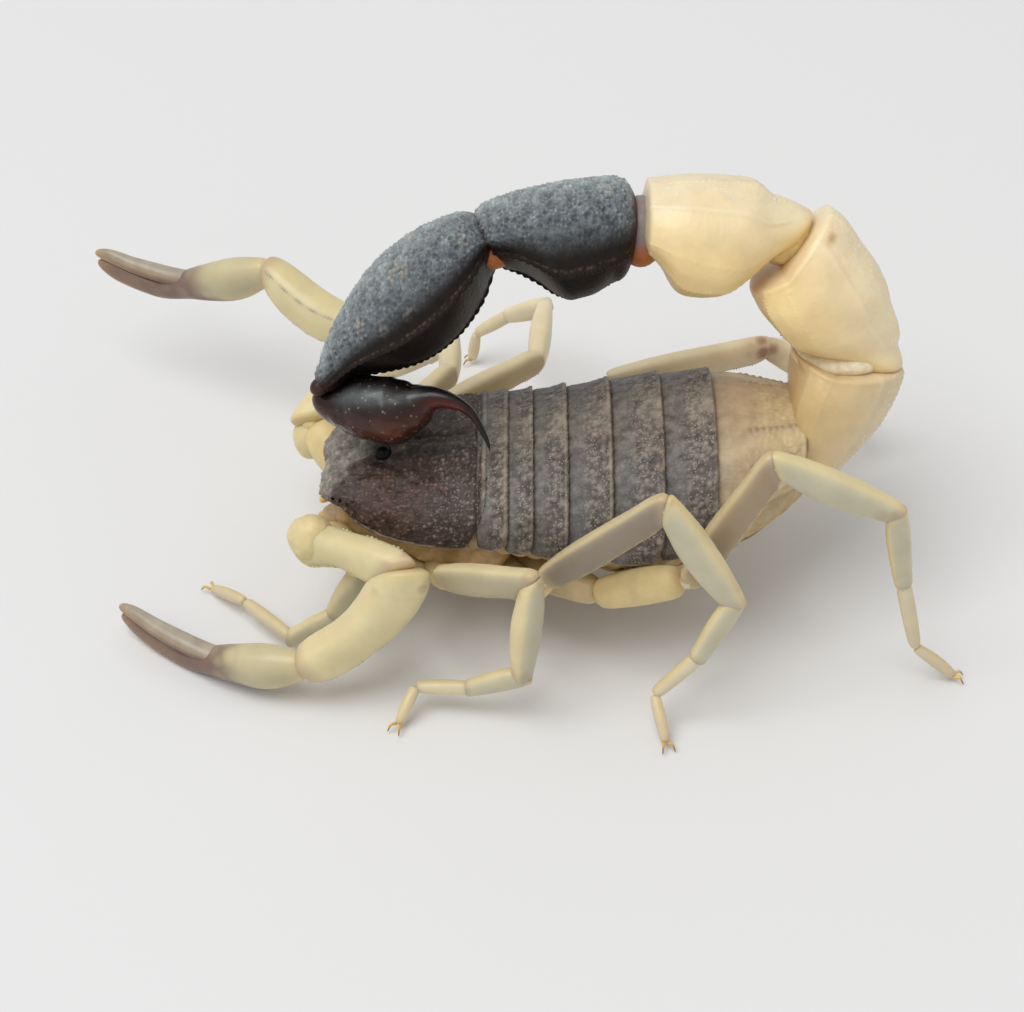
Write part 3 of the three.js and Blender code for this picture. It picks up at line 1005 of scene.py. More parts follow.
TAIL_SEGMENTS = (
    TailSegment("tail_1", 12, ((0, 1.2), (0.2, 1.4), (0.45, 1.7), (0.75, 1.85), (1, 1.65)),
                ((0, 0.95), (0.2, 0.95), (0.43, 0.95), (0.7, 0.97), (0.87, 1.05), (1, 1.15)),
                ((0, 0.95), (0.2, 1.15), (0.42, 1.65), (0.55, 1.95), (0.74, 2.15), (0.88, 2.1), (1, 1.95)),
                sallow=0.35, gaps=(-0.3, 0.15, 0.0, -0.6),
                mid=((0, -0.6), (0.2, -0.5), (0.42, -0.2), (0.7, 0.0), (1, 0.0))),
    TailSegment("tail_2", 20, ((0, 1.0), (0.12, 1.2), (0.35, 1.8), (0.7, 1.95), (1, 1.6)),
                ((0, 0.65), (0.09, 0.7), (0.22, 0.9), (0.37, 1.02), (0.57, 1.12), (0.86, 1.2), (1, 1.0)),
                ((0, 0.62), (0.09, 0.75), (0.15, 1.05), (0.22, 1.6), (0.41, 2.28), (0.55, 2.42),
                 (0.71, 2.3), (0.87, 2.14), (1, 1.8)), gaps=(-0.22, 0.15, 0.0, -0.7),
                mid=((0, -1.2), (0.09, -1.15), (0.2, -0.6), (0.35, -0.1), (0.5, 0.0), (1, 0.0)),
                spot=(0.9, 2.4)),
    TailSegment("tail_3", 26, ((0, 1.0), (0.1, 1.25), (0.3, 1.85), (0.6, 2.0), (0.9, 1.8), (1, 1.6)),
                ((0, 0.65), (0.09, 0.62), (0.18, 1.0), (0.28, 1.3), (0.51, 1.53), (0.75, 1.37),
                 (0.86, 0.9), (1, 0.35)),
                ((0, 0.65), (0.05, 0.75), (0.14, 1.19), (0.25, 1.7), (0.37, 2.08), (0.5, 2.08),
                 (0.7, 1.89), (1, 1.35)), gaps=(0.06, 0.1, 0.0, 0.12),
                mid=((0, -1.1), (0.08, -0.85), (0.14, -0.6), (0.26, -0.1), (0.42, 0.0), (1, 0.0))),
    TailSegment("tail_4", 46, ((0, 1.2), (0.12, 1.65), (0.5, 1.85), (0.8, 1.65), (1, 1.1)),
                ((0, 0.9), (0.1, 1.4), (0.25, 1.75), (0.45, 1.95), (0.68, 1.8), (0.78, 1.25),
                 (0.88, 0.8), (1, 0.5)),
                ((0, 1.0), (0.08, 1.35), (0.3, 1.5), (0.55, 1.45), (0.75, 1.32), (0.9, 1.15), (1, 0.9)),
                dark=True, trough=0.35, gaps=(0.12, 0.1, -0.25, 0.5)),
    TailSegment("tail_5", 56, ((0, 0.9), (0.12, 1.35), (0.4, 1.6), (0.65, 1.35), (0.8, 0.9), (0.92, 0.5),
                               (1, 0.35)),
                ((0, 0.35), (0.07, 0.45), (0.14, 0.9), (0.26, 1.3), (0.4, 1.45), (0.56, 1.3), (0.7, 0.9),
                 (0.8, 0.55), (1, 0.32)),
                ((0, 0.9), (0.08, 1.2), (0.3, 1.66), (0.5, 1.67), (0.7, 1.3), (0.86, 0.8), (0.94, 0.45),
                 (1, 0.3)), dark=True, trough=0.3, gaps=(-0.15, 0.4, 0.0, 0.0)),
)


@dataclass(frozen=True)
class Cuff:
    """The soft skin at the start of a tail segment.

    Attributes:
        radius: Its size across the tail.
        depth: Its size along the tail.
        lower: Its colour.
        upper: Its colour on top.
        share: How far it follows the middle of the segment, away from the joint.
        shift: Its place instead, from the joint.
    """

    radius: float
    depth: float
    lower: Colour
    upper: Colour
    share: float = 1.0
    shift: Triple = (0.0, 0.0, 0.0)

    def offset(self, segment: TailSegment) -> Array:
        """From the joint to its middle.

        Args:
            segment: The segment that starts there.

        Returns:
            The offset.
        """
        if any(self.shift):
            return np.array(self.shift)
        return segment.link.top * segment.mid[0][1] * self.share


CUFFS = (
    Cuff(0.8, 0.5, INK.amber, INK.amber),
    Cuff(1.4, 0.5, INK.butter, INK.cream, share=0.3),
    Cuff(0.85, 0.55, INK.butter, INK.butter, share=0.7),
    Cuff(1.0, 0.7, INK.flame, INK.mauve),
    Cuff(0.74, 0.6, INK.flame, INK.rust, shift=(0.0, -0.1, 0.14)),
    Cuff(0.25, 0.3, INK.maroon, INK.maroon),
)


@dataclass
class Tail:
    """The tail's rings, its sting and the soft skin between them.

    Attributes:
        heel: From the last solid joint to the hinge of the sting, which lies on the outer side.
    """

    heel: Triple = (0.1, -1.3, -0.38)

    def build(self) -> None:
        """Makes all of the tail."""
        nodes = ["trunk_rear", *(segment.node for segment in TAIL_SEGMENTS), "telson"]
        joints = [joint_between(a, b) for a, b in zip(nodes, nodes[1:])]
        heel = joints[-1].point + np.array(self.heel)
        joints[-1] = Joint(heel, unit(heel - joints[-2].point))
        for segment, start, end in zip(TAIL_SEGMENTS, joints, joints[1:]):
            segment.build(start, end)
        for index, (joint, cuff) in enumerate(zip(joints, CUFFS)):
            away = cuff.offset(TAIL_SEGMENTS[index]) if index < len(TAIL_SEGMENTS) else np.zeros(3)
            soft_ball(f"tail_membrane_{index + 1}", Joint(joint.point + away, joint.normal), cuff.radius,
                      cuff.depth, cuff.lower, cuff.upper)
        Telson().build(joint_between("tail_5", "telson"))


def soft_ball(name: str, joint: Joint, radius: float, depth: float, lower: Colour, upper: Colour) -> None:
    """A flattened ball of soft skin that fills a joint.

    Args:
        name: The piece's name.
        joint: Where it lies and which way the limb runs.
        radius: Its size across the limb.
        depth: Its size along the limb.
        lower: Its colour.
        upper: Its colour on top.
    """
    across = unit(np.cross(joint.normal, UP if abs(joint.normal @ UP) < UPRIGHT else REARWARD))
    top = np.cross(across, joint.normal)

    def shape(s: Array, a: Array) -> Array:
        """The ball's points for arrays of s and a."""
        wide = radius * np.sin(math.pi * s) * (1 + 0.02 * np.sin(9 * a))
        along = -depth * np.cos(math.pi * s)
        return (joint.point + (wide * np.sin(a))[:, None] * across + along[:, None] * joint.normal
                + (wide * np.cos(a))[:, None] * top)

    skin = Skin(name, 16, 32, shape)
    height = (skin.points[:, 2] - joint.point[2]) / radius
    skin.paint(blend(lower, upper, smooth(height, -0.1, 0.3))).done(MEMBRANE)


# ---------- tubes and plates


def through(at: Array, places: Sequence[float], values: Sequence) -> Array:
    """A smooth curve through given values.

    Args:
        at: Where the curve is wanted.
        places: Where the values belong, in rising order.
        values: Numbers, or points of the same length.

    Returns:
        One value for each entry of `at`.
    """
    x, y = np.asarray(places, float), np.asarray(values, float)
    flat = y.ndim == 1
    y = y[:, None] if flat else y
    step = np.diff(x)[:, None]
    rise = np.diff(y, axis=0) / step
    inner = (rise[1:] * step[:-1] + rise[:-1] * step[1:]) / (step[1:] + step[:-1])
    slope = np.concatenate([rise[:1], inner, rise[-1:]])
    at = np.clip(np.asarray(at, float), x[0], x[-1])
    i = np.clip(np.searchsorted(x, at, side="right") - 1, 0, len(x) - 2)
    gap = step[i]
    t = ((at - x[i]) / gap[:, 0])[:, None]
    curve = ((1 + 2 * t) * (1 - t) ** 2 * y[i] + t * (1 - t) ** 2 * gap * slope[i]
             + t * t * (3 - 2 * t) * y[i + 1] + t * t * (t - 1) * gap * slope[i + 1])
    return curve[:, 0] if flat else curve


def follow(at: Array, stations: Stations) -> Array:
    """A smooth curve through stations, each a place and its value."""
    return through(at, *zip(*stations))


@dataclass
class Course:
    """A curved centre line with an upper side.

    Attributes:
        stops: Points that it runs through.
        over: Roughly where its upper side points.
    """

    stops: Sequence[Array]
    over: Array = field(default_factory=UP.copy)

    def __post_init__(self) -> None:
        """Works out how far along each stop lies."""
        stops = np.asarray(self.stops, float)
        steps = np.linalg.norm(np.diff(stops, axis=0), axis=1)
        self.length = float(steps.sum())
        self.places = np.concatenate([[0], np.cumsum(steps)]) / self.length

    def at(self, s: Array) -> Array:
        """Points of the centre line."""
        return through(s, self.places, self.stops)

    def frame(self, s: Array) -> tuple[Array, Array, Array]:
        """The directions across, along and over at each place.

        Args:
            s: Shares of the length.

        Returns:
            Three (n, 3) arrays.
        """
        along = self.at(np.minimum(s + 0.01, 1.0)) - self.at(np.maximum(s - 0.01, 0.0))
        along = along / np.linalg.norm(along, axis=1)[:, None]
        across = np.cross(along, np.asarray(self.over, float))
        across = across / np.linalg.norm(across, axis=1)[:, None]
        return across, along, np.cross(across, along)

    def skin(self, name: str, rings: int, sides: int, half: Stations, up: Stations, power: float = 2.2,
             ends: float = 14) -> Skin:
        """A closed tube round the line.

        Args:
            name: The piece's name.
            rings: Steps along.
            sides: Steps around.
            half: Half its width at shares of the length.
            up: Half its height at shares of the length.
            power: 2 for an oval section, more for a boxier one.
            ends: More makes the ends blunter.

        Returns:
            The piece.
        """
        def shape(s: Array, a: Array) -> Array:
            """The tube's points for arrays of s and a."""
            across, _, over = self.frame(s)
            wide, tall = follow(s, half) * cap(s, ends), follow(s, up) * cap(s, ends)
            x, z = oval(a, wide, tall, tall, power)
            return self.at(s) + x[:, None] * across + z[:, None] * over

        return Skin(name, rings, sides, shape)


@dataclass
class Telson:
    """The bulb and the sting.

    Attributes:
        stops: Places on its middle line as the distance along and above the last solid joint, each
            with the half thickness there.
        heading: How far its middle line turns from straight back to the animal's left, in degrees.
        lean: How far it is rolled towards the animal's right, in degrees.
    """

    BUMPS, CLOUD = Grain(0.26, seed=21), Grain(0.5, spread=1.0, seed=22)

    stops: Sequence[Triple] = (
        (-1.38, -0.72, 0.25), (-1.1, -1.0, 0.42), (-0.64, -1.08, 0.6), (-0.06, -1.0, 0.83),
        (0.52, -0.95, 0.92), (0.93, -0.9, 0.93), (1.26, -0.78, 0.81), (1.54, -0.64, 0.64),
        (1.78, -0.46, 0.46), (2.0, -0.35, 0.355), (2.5, -0.32, 0.235), (2.8, -0.38, 0.175),
        (3.12, -0.53, 0.13), (3.38, -0.8, 0.095), (3.55, -1.05, 0.078), (3.72, -1.32, 0.055),
        (3.82, -1.58, 0.014))
    heading: float = 17
    lean: float = 20

    def build(self, joint: Joint) -> None:
        """Makes the bulb and sting beside the last joint between the CAD solids.

        Args:
            joint: The joint between the last two CAD nodes.
        """
        turn = math.radians(self.heading)
        level = np.array([math.sin(turn), math.cos(turn), 0])
        left = leftward(self.lean)
        top = unit(np.cross(left - (left @ level) * level, level))
        line, rise, half = np.array(self.stops).T
        course = Course([joint.point + y * level + z * top for y, z in zip(line, rise)], top)
        sizes = list(zip(course.places, half))
        skin = course.skin("telson_shell", 150, 72, sizes, sizes, 2.05, 40)
        s, a = skin.s, np.abs(skin.a)
        bulb = smooth(0.62 - s, 0, 0.1)
        grain = self.BUMPS.domes(skin.points)
        cloud = self.CLOUD.domes(skin.points * np.array([1.0, 0.5, 1.0]))
        skin.push((0.02 * grain * smooth(a, 1.2, 2.2) + 0.07 * cloud) * bulb * smooth(s, 0.05, 0.12))
        # A blue-grey streak on the bulb's upper flank: a painted reflection of the sky.
        painted_reflection = bump(a, 0.9, 0.34) * smooth(s, 0.08, 0.2) * (0.45 + 0.55 * smooth(0.45 - s, 0, 0.15))
        colour = layers(
            INK.maroon, (INK.pitch, 0.85 * smooth(1.9 - a, 0, 0.9)),
            (INK.rust, 0.16 * bump(s, 0.43, 0.07) * bump(a, 2.0, 0.35)),
            (INK.blood, 0.08 * smooth(a, 1.6, 2.4) * bulb),
            (INK.blood, 0.45 * bump(s, 0.68, 0.09) * smooth(a, 0.9, 1.6)),
            (INK.steel, 0.6 * bulb * (0.4 + 0.6 * cloud) * painted_reflection),
            (INK.pitch, np.maximum(smooth(s, 0.78, 0.92), 0.6 * smooth(a, 2.3, 3.0) * bulb)))
        skin.paint(colour, bulb).done(STING, "telson")


class Plate(Skin):
    """A thin curved plate, each point known by its place across and from front to rear.

    Attributes:
        u: -1 at one side and 1 at the other.
        v: 0 at the front and 1 at the rear.
        outer: 1 on the outer face and 0 on the inner one.
    """

    OUTER_SHARE = 0.8

    def __init__(self, name: str, rings: int, sides: int,
                 surface: Callable[[Array, Array, Array], Array], thickness: float = 0.1,
                 square: float = 10) -> None:
        """Draws the plate.

        Args:
            name: The piece's name.
            rings: Steps across.
            sides: Steps from front to rear and back inside.
            surface: Gives the points for u, v and the height over the surface.
            thickness: How thick the plate is.
            square: More makes its corners squarer.
        """
        def shape(s: Array, a: Array) -> Array:
            """The plate's points for arrays of s and a, with their u, v and outer kept."""
            x = 2 * s - 1
            u = 0.75 * x + 0.25 * np.sin(math.pi * x / 2)
            share = a / math.pi
            back = ((share - self.OUTER_SHARE) % 2) / (2 - 2 * self.OUTER_SHARE)
            outer = np.abs(share) <= self.OUTER_SHARE
            v = np.where(outer, (share / self.OUTER_SHARE + 1) / 2, 1 - back)
            corner = np.clip(1 - np.abs(u) ** square, 0, 1) ** (1 / square)
            v = 0.5 + (v - 0.5) * corner
            self.u, self.v, self.outer = u, v, outer.astype(float)
            return surface(u, v, np.where(outer, 0.0, -thickness))

        super().__init__(name, rings, sides, shape)


# ---------- body


@dataclass(frozen=True)
class Trunk:
    """The outline of the body behind the head shield, from front to rear.

    Attributes:
        places: Y of each measured section.
        half: Half its width there.
        axis: The height of its middle.
        up: From the middle to the back.
        down: From the middle to the belly.
    """

    places: Sequence[float] = (-0.9, 1.5, 3.9, 6.2, 8.3)
    half: Sequence[float] = (3.07, 3.32, 3.46, 3.03, 1.85)
    axis: Sequence[float] = (4.1, 3.95, 3.95, 4.6, 5.1)
    up: Sequence[float] = (1.7, 2.1, 2.6, 2.2, 1.5)
    down: Sequence[float] = (1.3, 1.52, 1.8, 1.97, 1.45)

    def surface(self, y: Array, angle: Array, lift: Array) -> Array:
        """Points on the body.

        Args:
            y: How far back.
            angle: Round the body, 0 on the back.
            lift: How far off the surface.

        Returns:
            An (n, 3) array.
        """
        half, up, down = (through(y, self.places, row) for row in (self.half, self.up, self.down))
        x, z = oval(angle, half, up, down, 2.15)
        side = np.sin(angle) / half
        over = np.cos(angle) / np.where(np.cos(angle) > 0, up, down)
        size = np.hypot(side, over)
        return ORIGIN + np.stack([x + lift * side / size, y,
                                  through(y, self.places, self.axis) + z + lift * over / size], axis=1)


def body_origin() -> Array:
    """The animal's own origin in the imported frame, from the head shield's box.

    Returns:
        A point.
    """
    shield = corners("carapace")
    low, high = shield.min(axis=0), shield.max(axis=0)
    return np.array([(low[0] + high[0]) / 2, high[1] + 0.9, 0.0])


ORIGIN = body_origin()
TRUNK = Trunk()


def in_body(x: float, y: float, z: float) -> Array:
    """A point of the animal's own frame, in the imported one."""
    return ORIGIN + np.array([x, y, z])


TERGITES = 7
SAMPLE = 0.04  # millimetres between the points of a plate of the back


@dataclass
class Tergite:
    """One of the seven plates along the back.

    Attributes:
        number: Which one, from the front.
        front: Y of its front edge.
        rear: Y of its rear edge.
    """

    REACH = math.radians(97)  # from the middle of the back to the side edge

    number: int
    front: float
    rear: float

    def build(self) -> None:
        """Makes the plate."""
        last = self.number == TERGITES
        long = self.rear - self.front
        samples = int(max(long, 0.6) / SAMPLE / Plate.OUTER_SHARE)
        tuck = 0.25 if self.number == 1 else 0.12

        def surface(u: Array, v: Array, lift: Array) -> Array:
            """The plate's points for u, v and the height over the back."""
            y = self.front - tuck + v * (long + tuck)
            rise = -0.07 + 0.07 * smooth(v, 0.0, 0.25) + 0.07 * smooth(v, 0.5, 1.0)
            side = rounded(self.REACH * (0.82 if last else 1.0), (1 - v) * long, min(0.36, 0.9 * long))
            return TRUNK.surface(y, u * side, rise + lift)

        plate = Plate(f"tergite_{self.number}", 290, samples, surface, square=7 if last else 12)
        u, v = plate.u, plate.v
        to_rear = (1 - v) * long
        coarse = Grain(0.17, seed=30 + self.number).domes(plate.points)
        fine = Grain(0.1, seed=40 + self.number).domes(plate.points)
        behind = smooth(v, 0.3, 0.62)
        height = 0.01 * fine + 0.025 * coarse * behind
        height = height + 0.035 * smooth(0.1 - to_rear, 0, 0.05)
        if last:
            height = height + self.keels(u, v)
        plate.push(height * plate.outer * smooth(1 - np.abs(u), 0.0, 0.02))
        plate.paint(self.colours(plate, coarse, fine, behind, to_rear), 0.35 + 0.65 * behind)
        plate.done(TAN_PLATE if last else DARK_PLATE)

    def keels(self, u: Array, v: Array) -> Array:
        """The two pairs of dotted ridges near the end of the last plate.

        Args:
            u: The place across.
            v: The place along.

        Returns:
            Their height.
        """
        dots = 0.3 + 0.7 * np.abs(np.sin(math.pi * v * 14))
        along = smooth(v, 0.3, 0.45) * smooth(0.96 - v, 0, 0.08)
        return 0.06 * dots * along * (bump(np.abs(u), 0.27, 0.022) + bump(np.abs(u), 0.58, 0.022))

    def colours(self, plate: Plate, coarse: Array, fine: Array, behind: Array, to_rear: Array) -> Array:
        """The plate's colours.

        Args:
            plate: The plate.
            coarse: The height of the coarse granules.
            fine: The height of the fine ones.
            behind: 0 on the smooth front part and 1 on the granular rear part.
            to_rear: The distance from the rear edge.

        Returns:
            An (n, 3) array.
        """
        u, v = plate.u, plate.v
        if self.number == TERGITES:
            return layers(
                INK.tan, (INK.rose, 0.7), (INK.slate, 0.5 * smooth(0.3 - v, 0, 0.25)),
                (INK.straw, 0.3 + 0.3 * smooth(v, 0.3, 0.9)),
                (INK.straw, 0.45 * bump(np.abs(u), 0.42, 0.07) + 0.35 * bump(np.abs(u), 0.78, 0.07)),
                (INK.russet, 0.45 * np.clip(self.keels(u, v) * 16, 0, 1)),
                (INK.straw, 0.5 * coarse * behind))
        patch = Grain(0.7, spread=1.0, seed=80 + self.number).domes(plate.points)
        ridge = bump(u, 0.0, 0.12) * smooth(v, 0.5, 1.0)
        return layers(
            INK.slate, (INK.umber, 0.25 + 0.5 * patch * (0.4 + 0.6 * behind)),
            (INK.steel, 0.22 * bump(v, 0.3, 0.2) * (0.4 + 0.6 * patch)),
            # Pitch off the coarse granules is painted shade in the gaps between them.
            (INK.pitch, 0.25 * behind * (1 - smooth(coarse, 0.1, 0.5))),
            (INK.granule, 0.42 * coarse * behind + 0.14 * fine),
            (INK.tan, 0.25 * smooth(coarse, 0.5, 0.9) * smooth(v, 0.7, 1.0)),
            (INK.rim, 0.6 * ridge + 0.2 * smooth(1 - np.abs(u), 0.6, 1.0)),
            (INK.rim, 0.7 * smooth(0.065 - to_rear, 0, 0.03)),
            (INK.rim, 0.6 * smooth(np.abs(u), 0.972, 0.985)))


@dataclass
class Sternite:
    """One of the five plates along the belly.

    Attributes:
        number: That of the plate above it on the back.
        front: Y of its front edge.
        rear: Y of its rear edge.
    """

    number: int
    front: float
    rear: float

    def build(self) -> None:
        """Makes the plate, with a pair of breathing slits on the first four."""
        long = self.rear - self.front
        last = self.number == TERGITES

        def surface(u: Array, v: Array, lift: Array) -> Array:
            """The plate's points for u, v and the height over the belly."""
            y = self.front - 0.1 + v * (long + 0.1)
            rise = -0.08 + 0.05 * smooth(v, 0.0, 0.3) + 0.04 * smooth(v, 0.6, 1.0)
            reach = math.radians(46) * (1 - 0.4 * smooth(v, 0.3, 1.0)) if last else math.radians(58)
            return TRUNK.surface(y, math.pi - u * reach, rise + lift)

        plate = Plate(f"sternite_{self.number}", 120, 44, surface, square=8)
        slit = bump(np.abs(plate.u), 0.6, 0.1) * bump(plate.v, 0.5, 0.06) * (not last)
        plate.push(-0.06 * slit * plate.outer)
        plate.paint(layers(INK.tan, (INK.straw, 0.5 + 0.3 * smooth(plate.v, 0.0, 0.8)),
                           (INK.rim, 0.6 * smooth(plate.v, 0.9, 0.97)), (INK.russet, slit))).done(TAN_PLATE)


@dataclass
class Body:
    """The soft trunk with its plates on the back and belly.

    Attributes:
        seams: Y of the edges between the plates of the back.
        belly_seams: Y of the edges between the plates of the belly.
        front: Y where the soft skin begins.
        rear: Y where it ends.
    """

    seams: Sequence[float] = (-0.76, -0.14, 0.6, 1.55, 2.8, 4.25, 5.72, 8.25)
    belly_seams: Sequence[float] = (1.3, 2.5, 3.75, 5.0, 6.3, 8.1)
    front: float = -2.2
    rear: float = 8.75

    def build(self) -> None:
        """Makes the trunk and all its plates."""
        self.membrane()
        for number, (front, rear) in enumerate(zip(self.seams, self.seams[1:]), start=1):
            Tergite(number, front, rear).build()
        for number, (front, rear) in enumerate(zip(self.belly_seams, self.belly_seams[1:]), start=3):
            Sternite(number, front, rear).build()

    def membrane(self) -> None:
        """Makes the folded soft skin under the plates."""
        def shape(s: Array, a: Array) -> Array:
            """The trunk's points for arrays of s and a."""
            y = self.front + s * (self.rear - self.front)
            held = np.clip(y, TRUNK.places[0], TRUNK.places[-1])
            points = TRUNK.surface(held, a, np.full(len(s), -0.13))
            middle = ORIGIN + np.stack([0 * y, y, through(held, TRUNK.places, TRUNK.axis)], axis=1)
            points[:, 1] = middle[:, 1]
            return middle + (points - middle) * cap(s, 14)[:, None]

        skin = Skin("trunk_skin", 240, 160, shape)
        side = bump(np.abs(skin.a), math.radians(115), 0.35)
        folds = np.sin(skin.points[:, 1] * 14 + 2 * np.sin(np.abs(skin.a) * 6))
        skin.push(0.035 * folds * side)
        colour = blend(INK.membrane, INK.ochre, 0.35 + 0.3 * smooth(folds, -1, 1) * side)
        skin.paint(colour).done(MEMBRANE, "trunk_front", "trunk_middle", "trunk_rear")


@dataclass
class HeadShield:
    """The carapace with its eyes.

    Attributes:
        front: Y of its front edge.
        rear: Y of its rear edge.
        reach: How far down its sides come, in degrees from the top, from front to rear.
        eye_radius: Of a middle eye.
        eye_apart: Between the middle eyes' centres.
        eye_y: How far forward they lie.
        eye_z: How high they lie.
        side_eyes: The lateral eyes' places from front to rear.
    """

    BEAD = 0.06  # the radius of a lateral eye
    COARSE, FINE, LUMPS = Grain(0.15, seed=51), Grain(0.085, seed=52), Grain(0.45, seed=64)
    PITS, CLOUDS = Grain(0.21, spread=1.0, seed=62), (Grain(1.1, seed=60), Grain(0.6, spread=1.0, seed=61))

    front: float = -5.5
    rear: float = -0.72
    reach: Stations = ((0, 82), (0.1, 86), (0.3, 91), (0.6, 98), (0.85, 104), (1, 104))
    eye_radius: float = 0.27
    eye_apart: float = 1.1
    eye_y: float = -3.68
    eye_z: float = 5.37
    side_eyes: Sequence[float] = (0.07, 0.12, 0.17)

    def surface(self, u: Array, v: Array, lift: Array) -> Array:
        """Points on the shield.

        Args:
            u: The place across.
            v: The place along.
            lift: The height over the surface.

        Returns:
            An (n, 3) array.
        """
        half = 1.4 + 1.65 * np.sin(math.pi / 2 * v ** 0.8)
        up = 0.7 + 1.0 * np.sqrt(v)
        long = self.rear - self.front
        angle = u * rounded(np.radians(follow(v, self.reach)), (1 - v) * long, 0.9)
        x, z = oval(angle, half, up, np.full(len(v), 0.7), 2.25)
        y = self.front + v * long + 0.1 * bump(u, 0, 0.16) * bump(v, 0, 0.1)
        y = y + 0.6 * smooth(np.abs(u), 0.66, 1.0) * (1 - v) ** 6
        dip = 0.3 * np.clip(1 - v / 0.12, 0, 1) ** 2
        hill = 0.27 * np.exp(-((x / 0.6) ** 2 + ((y - self.eye_y) / 0.6) ** 2))
        side, over = np.sin(angle), np.cos(angle)
        axis = 4.1 - 0.15 * smooth(v, 0.0, 0.4) + 0.15 * v
        return ORIGIN + np.stack([x + lift * side, y, axis + z - dip + hill + lift * over], axis=1)

    def build(self) -> None:
        """Makes the shield and the eyes."""
        plate = Plate("carapace_shield", 300, 190, self.surface, thickness=0.12, square=6)
        near = plate.points - ORIGIN
        x, y = np.abs(near[:, 0]), near[:, 1]
        coarse = self.COARSE.domes(plate.points)
        fine = self.FINE.domes(plate.points)
        beads, specks = smooth(coarse, 0.5, 0.95), smooth(fine, 0.45, 0.95)
        pits = smooth(self.PITS.domes(plate.points), 0.7, 0.95)
        crest = self.crest(x, y)
        furrow = self.furrow(x, y)
        behind = smooth(y, -3.0, -1.6)
        margin = smooth(plate.v, 0.965, 0.985) + smooth(np.abs(plate.u), 0.965, 0.98)
        rough = 0.022 * specks + (0.03 + 0.012 * behind) * beads - 0.03 * pits * (1 - behind)
        lumps = self.LUMPS.domes(plate.points)
        rough = rough + 0.05 * lumps * smooth(-1.2 - y, 0, 0.5)
        height = rough * smooth(1 - np.abs(plate.u), 0, 0.03) + 0.13 * crest - 0.1 * furrow + 0.04 * margin
        plate.push(height * plate.outer)
        patch = sum(0.5 * cloud.domes(plate.points) for cloud in self.CLOUDS)
        front = smooth(np.minimum(-3.9, -3.75 - 1.4 * (x - 0.55)) - y, 0, 0.35)
        warm = bump(x, 1.9, 0.9) * bump(y, -3.3, 1.3) + 0.8 * bump(y, -4.0, 0.5) * bump(x, 0.9, 0.4)
        # hollow is a dark patch at the outer side of each middle eye: painted shade round the eye.
        hollow = bump(np.hypot(x - 0.8, y - self.eye_y + 0.15), 0, 0.42)
        colour = layers(
            INK.umber, (INK.slate, 0.35 * patch), (INK.olive, 0.88 * front),
            (INK.dust, 0.3 * smooth(1.2 - x, 0, 0.8) * smooth(-2.6 - y, 0, 0.8)),
            (INK.frost, 0.35 * front * specks), (INK.slate, 0.7 * smooth(1.3 - x, 0, 1.0) * behind),
            (INK.russet, 0.75 * np.clip(warm, 0, 1) * (1 - 0.6 * front)),
            (INK.pitch, 0.4 * smooth(patch, 0.45, 0.75) * (1 - front)),
            # Pitch off the coarse granules is painted shade in the gaps between them.
            (INK.pitch, 0.3 * (1 - smooth(coarse, 0.1, 0.5))), (INK.russet, 0.5 * crest + 0.4 * furrow),
            (INK.granule, 0.14 * specks + (0.14 + 0.2 * behind) * beads),
            (INK.pitch, 0.5 * pits * (1 - 0.75 * behind)), (INK.pitch, 0.75 * hollow),
            (INK.dust, 0.5 * np.clip(margin, 0, 1)))
        plate.paint(colour, (0.15 + 0.7 * behind + 0.5 * front) * (0.3 + 0.7 * patch))
        plate.done(DARK_PLATE, "carapace")
        for side in Side:
            self.middle_eye(side)
            self.lateral_eyes(side)

    def crest(self, x: Array, y: Array) -> Array:
        """The ridges beside and in front of the middle eyes.

        Args:
            x: Distance from the middle.
            y: The place along.

        Returns:
            Their height, 0 to 1.
        """
        forward = bump(x, 0.55 + 0.42 * (self.eye_y - y), 0.09)
        forward = forward * smooth(-3.7 - y, 0, 0.2) * smooth(y + 5.2, 0, 0.3)
        back = bump(x, 0.5 - 0.1 * (y - self.eye_y), 0.08)
        back = back * smooth(y + 3.4, 0, 0.15) * smooth(-2.7 - y, 0, 0.4)
        return np.clip(forward + back, 0, 1)

    def furrow(self, x: Array, y: Array) -> Array:
        """The grooves behind the eyes and towards the rear corners.

        Args:
            x: Distance from the middle.
            y: The place along.

        Returns:
            Their depth, 0 to 1.
        """
        stretch = smooth(y + 3.0, 0, 0.3) + smooth(-4.2 - y, 0, 0.3) * smooth(y + 5.4, 0, 0.2)
        middle = bump(x, 0, 0.09) * stretch
        arc = bump(y, -2.35 + 0.32 * (x - 0.9) ** 2, 0.11) * smooth(x, 0.5, 0.8) * smooth(2.5 - x, 0, 0.4)
        rear = bump(y, -0.98, 0.06)
        return np.clip(middle + 0.7 * arc + 0.6 * rear, 0, 1)

    def middle_eye(self, side: Side) -> None:
        """Makes one of the two glossy middle eyes.

        Args:
            side: Which side.
        """
        middle = in_body(side.value * self.eye_apart / 2, self.eye_y, self.eye_z)
        look = unit(np.array([side.value * 0.88, -0.12, 0.46]))
        ball = Course([middle - look * self.eye_radius, middle + look * self.eye_radius * 0.9], REARWARD)

        def shape(s: Array, a: Array) -> Array:
            """The eye's points for arrays of s and a."""
            across, _, over = ball.frame(s)
            wide = self.eye_radius * np.sin(math.pi * s)
            return (middle - self.eye_radius * np.cos(math.pi * s)[:, None] * look
                    + (wide * np.sin(a))[:, None] * across + (wide * np.cos(a))[:, None] * over)

        eye = Skin(f"median_eye_{side.label}", 24, 40, shape)
        eye.paint(np.array(INK.pitch)).done(EYE, f"eye_{side.label}")

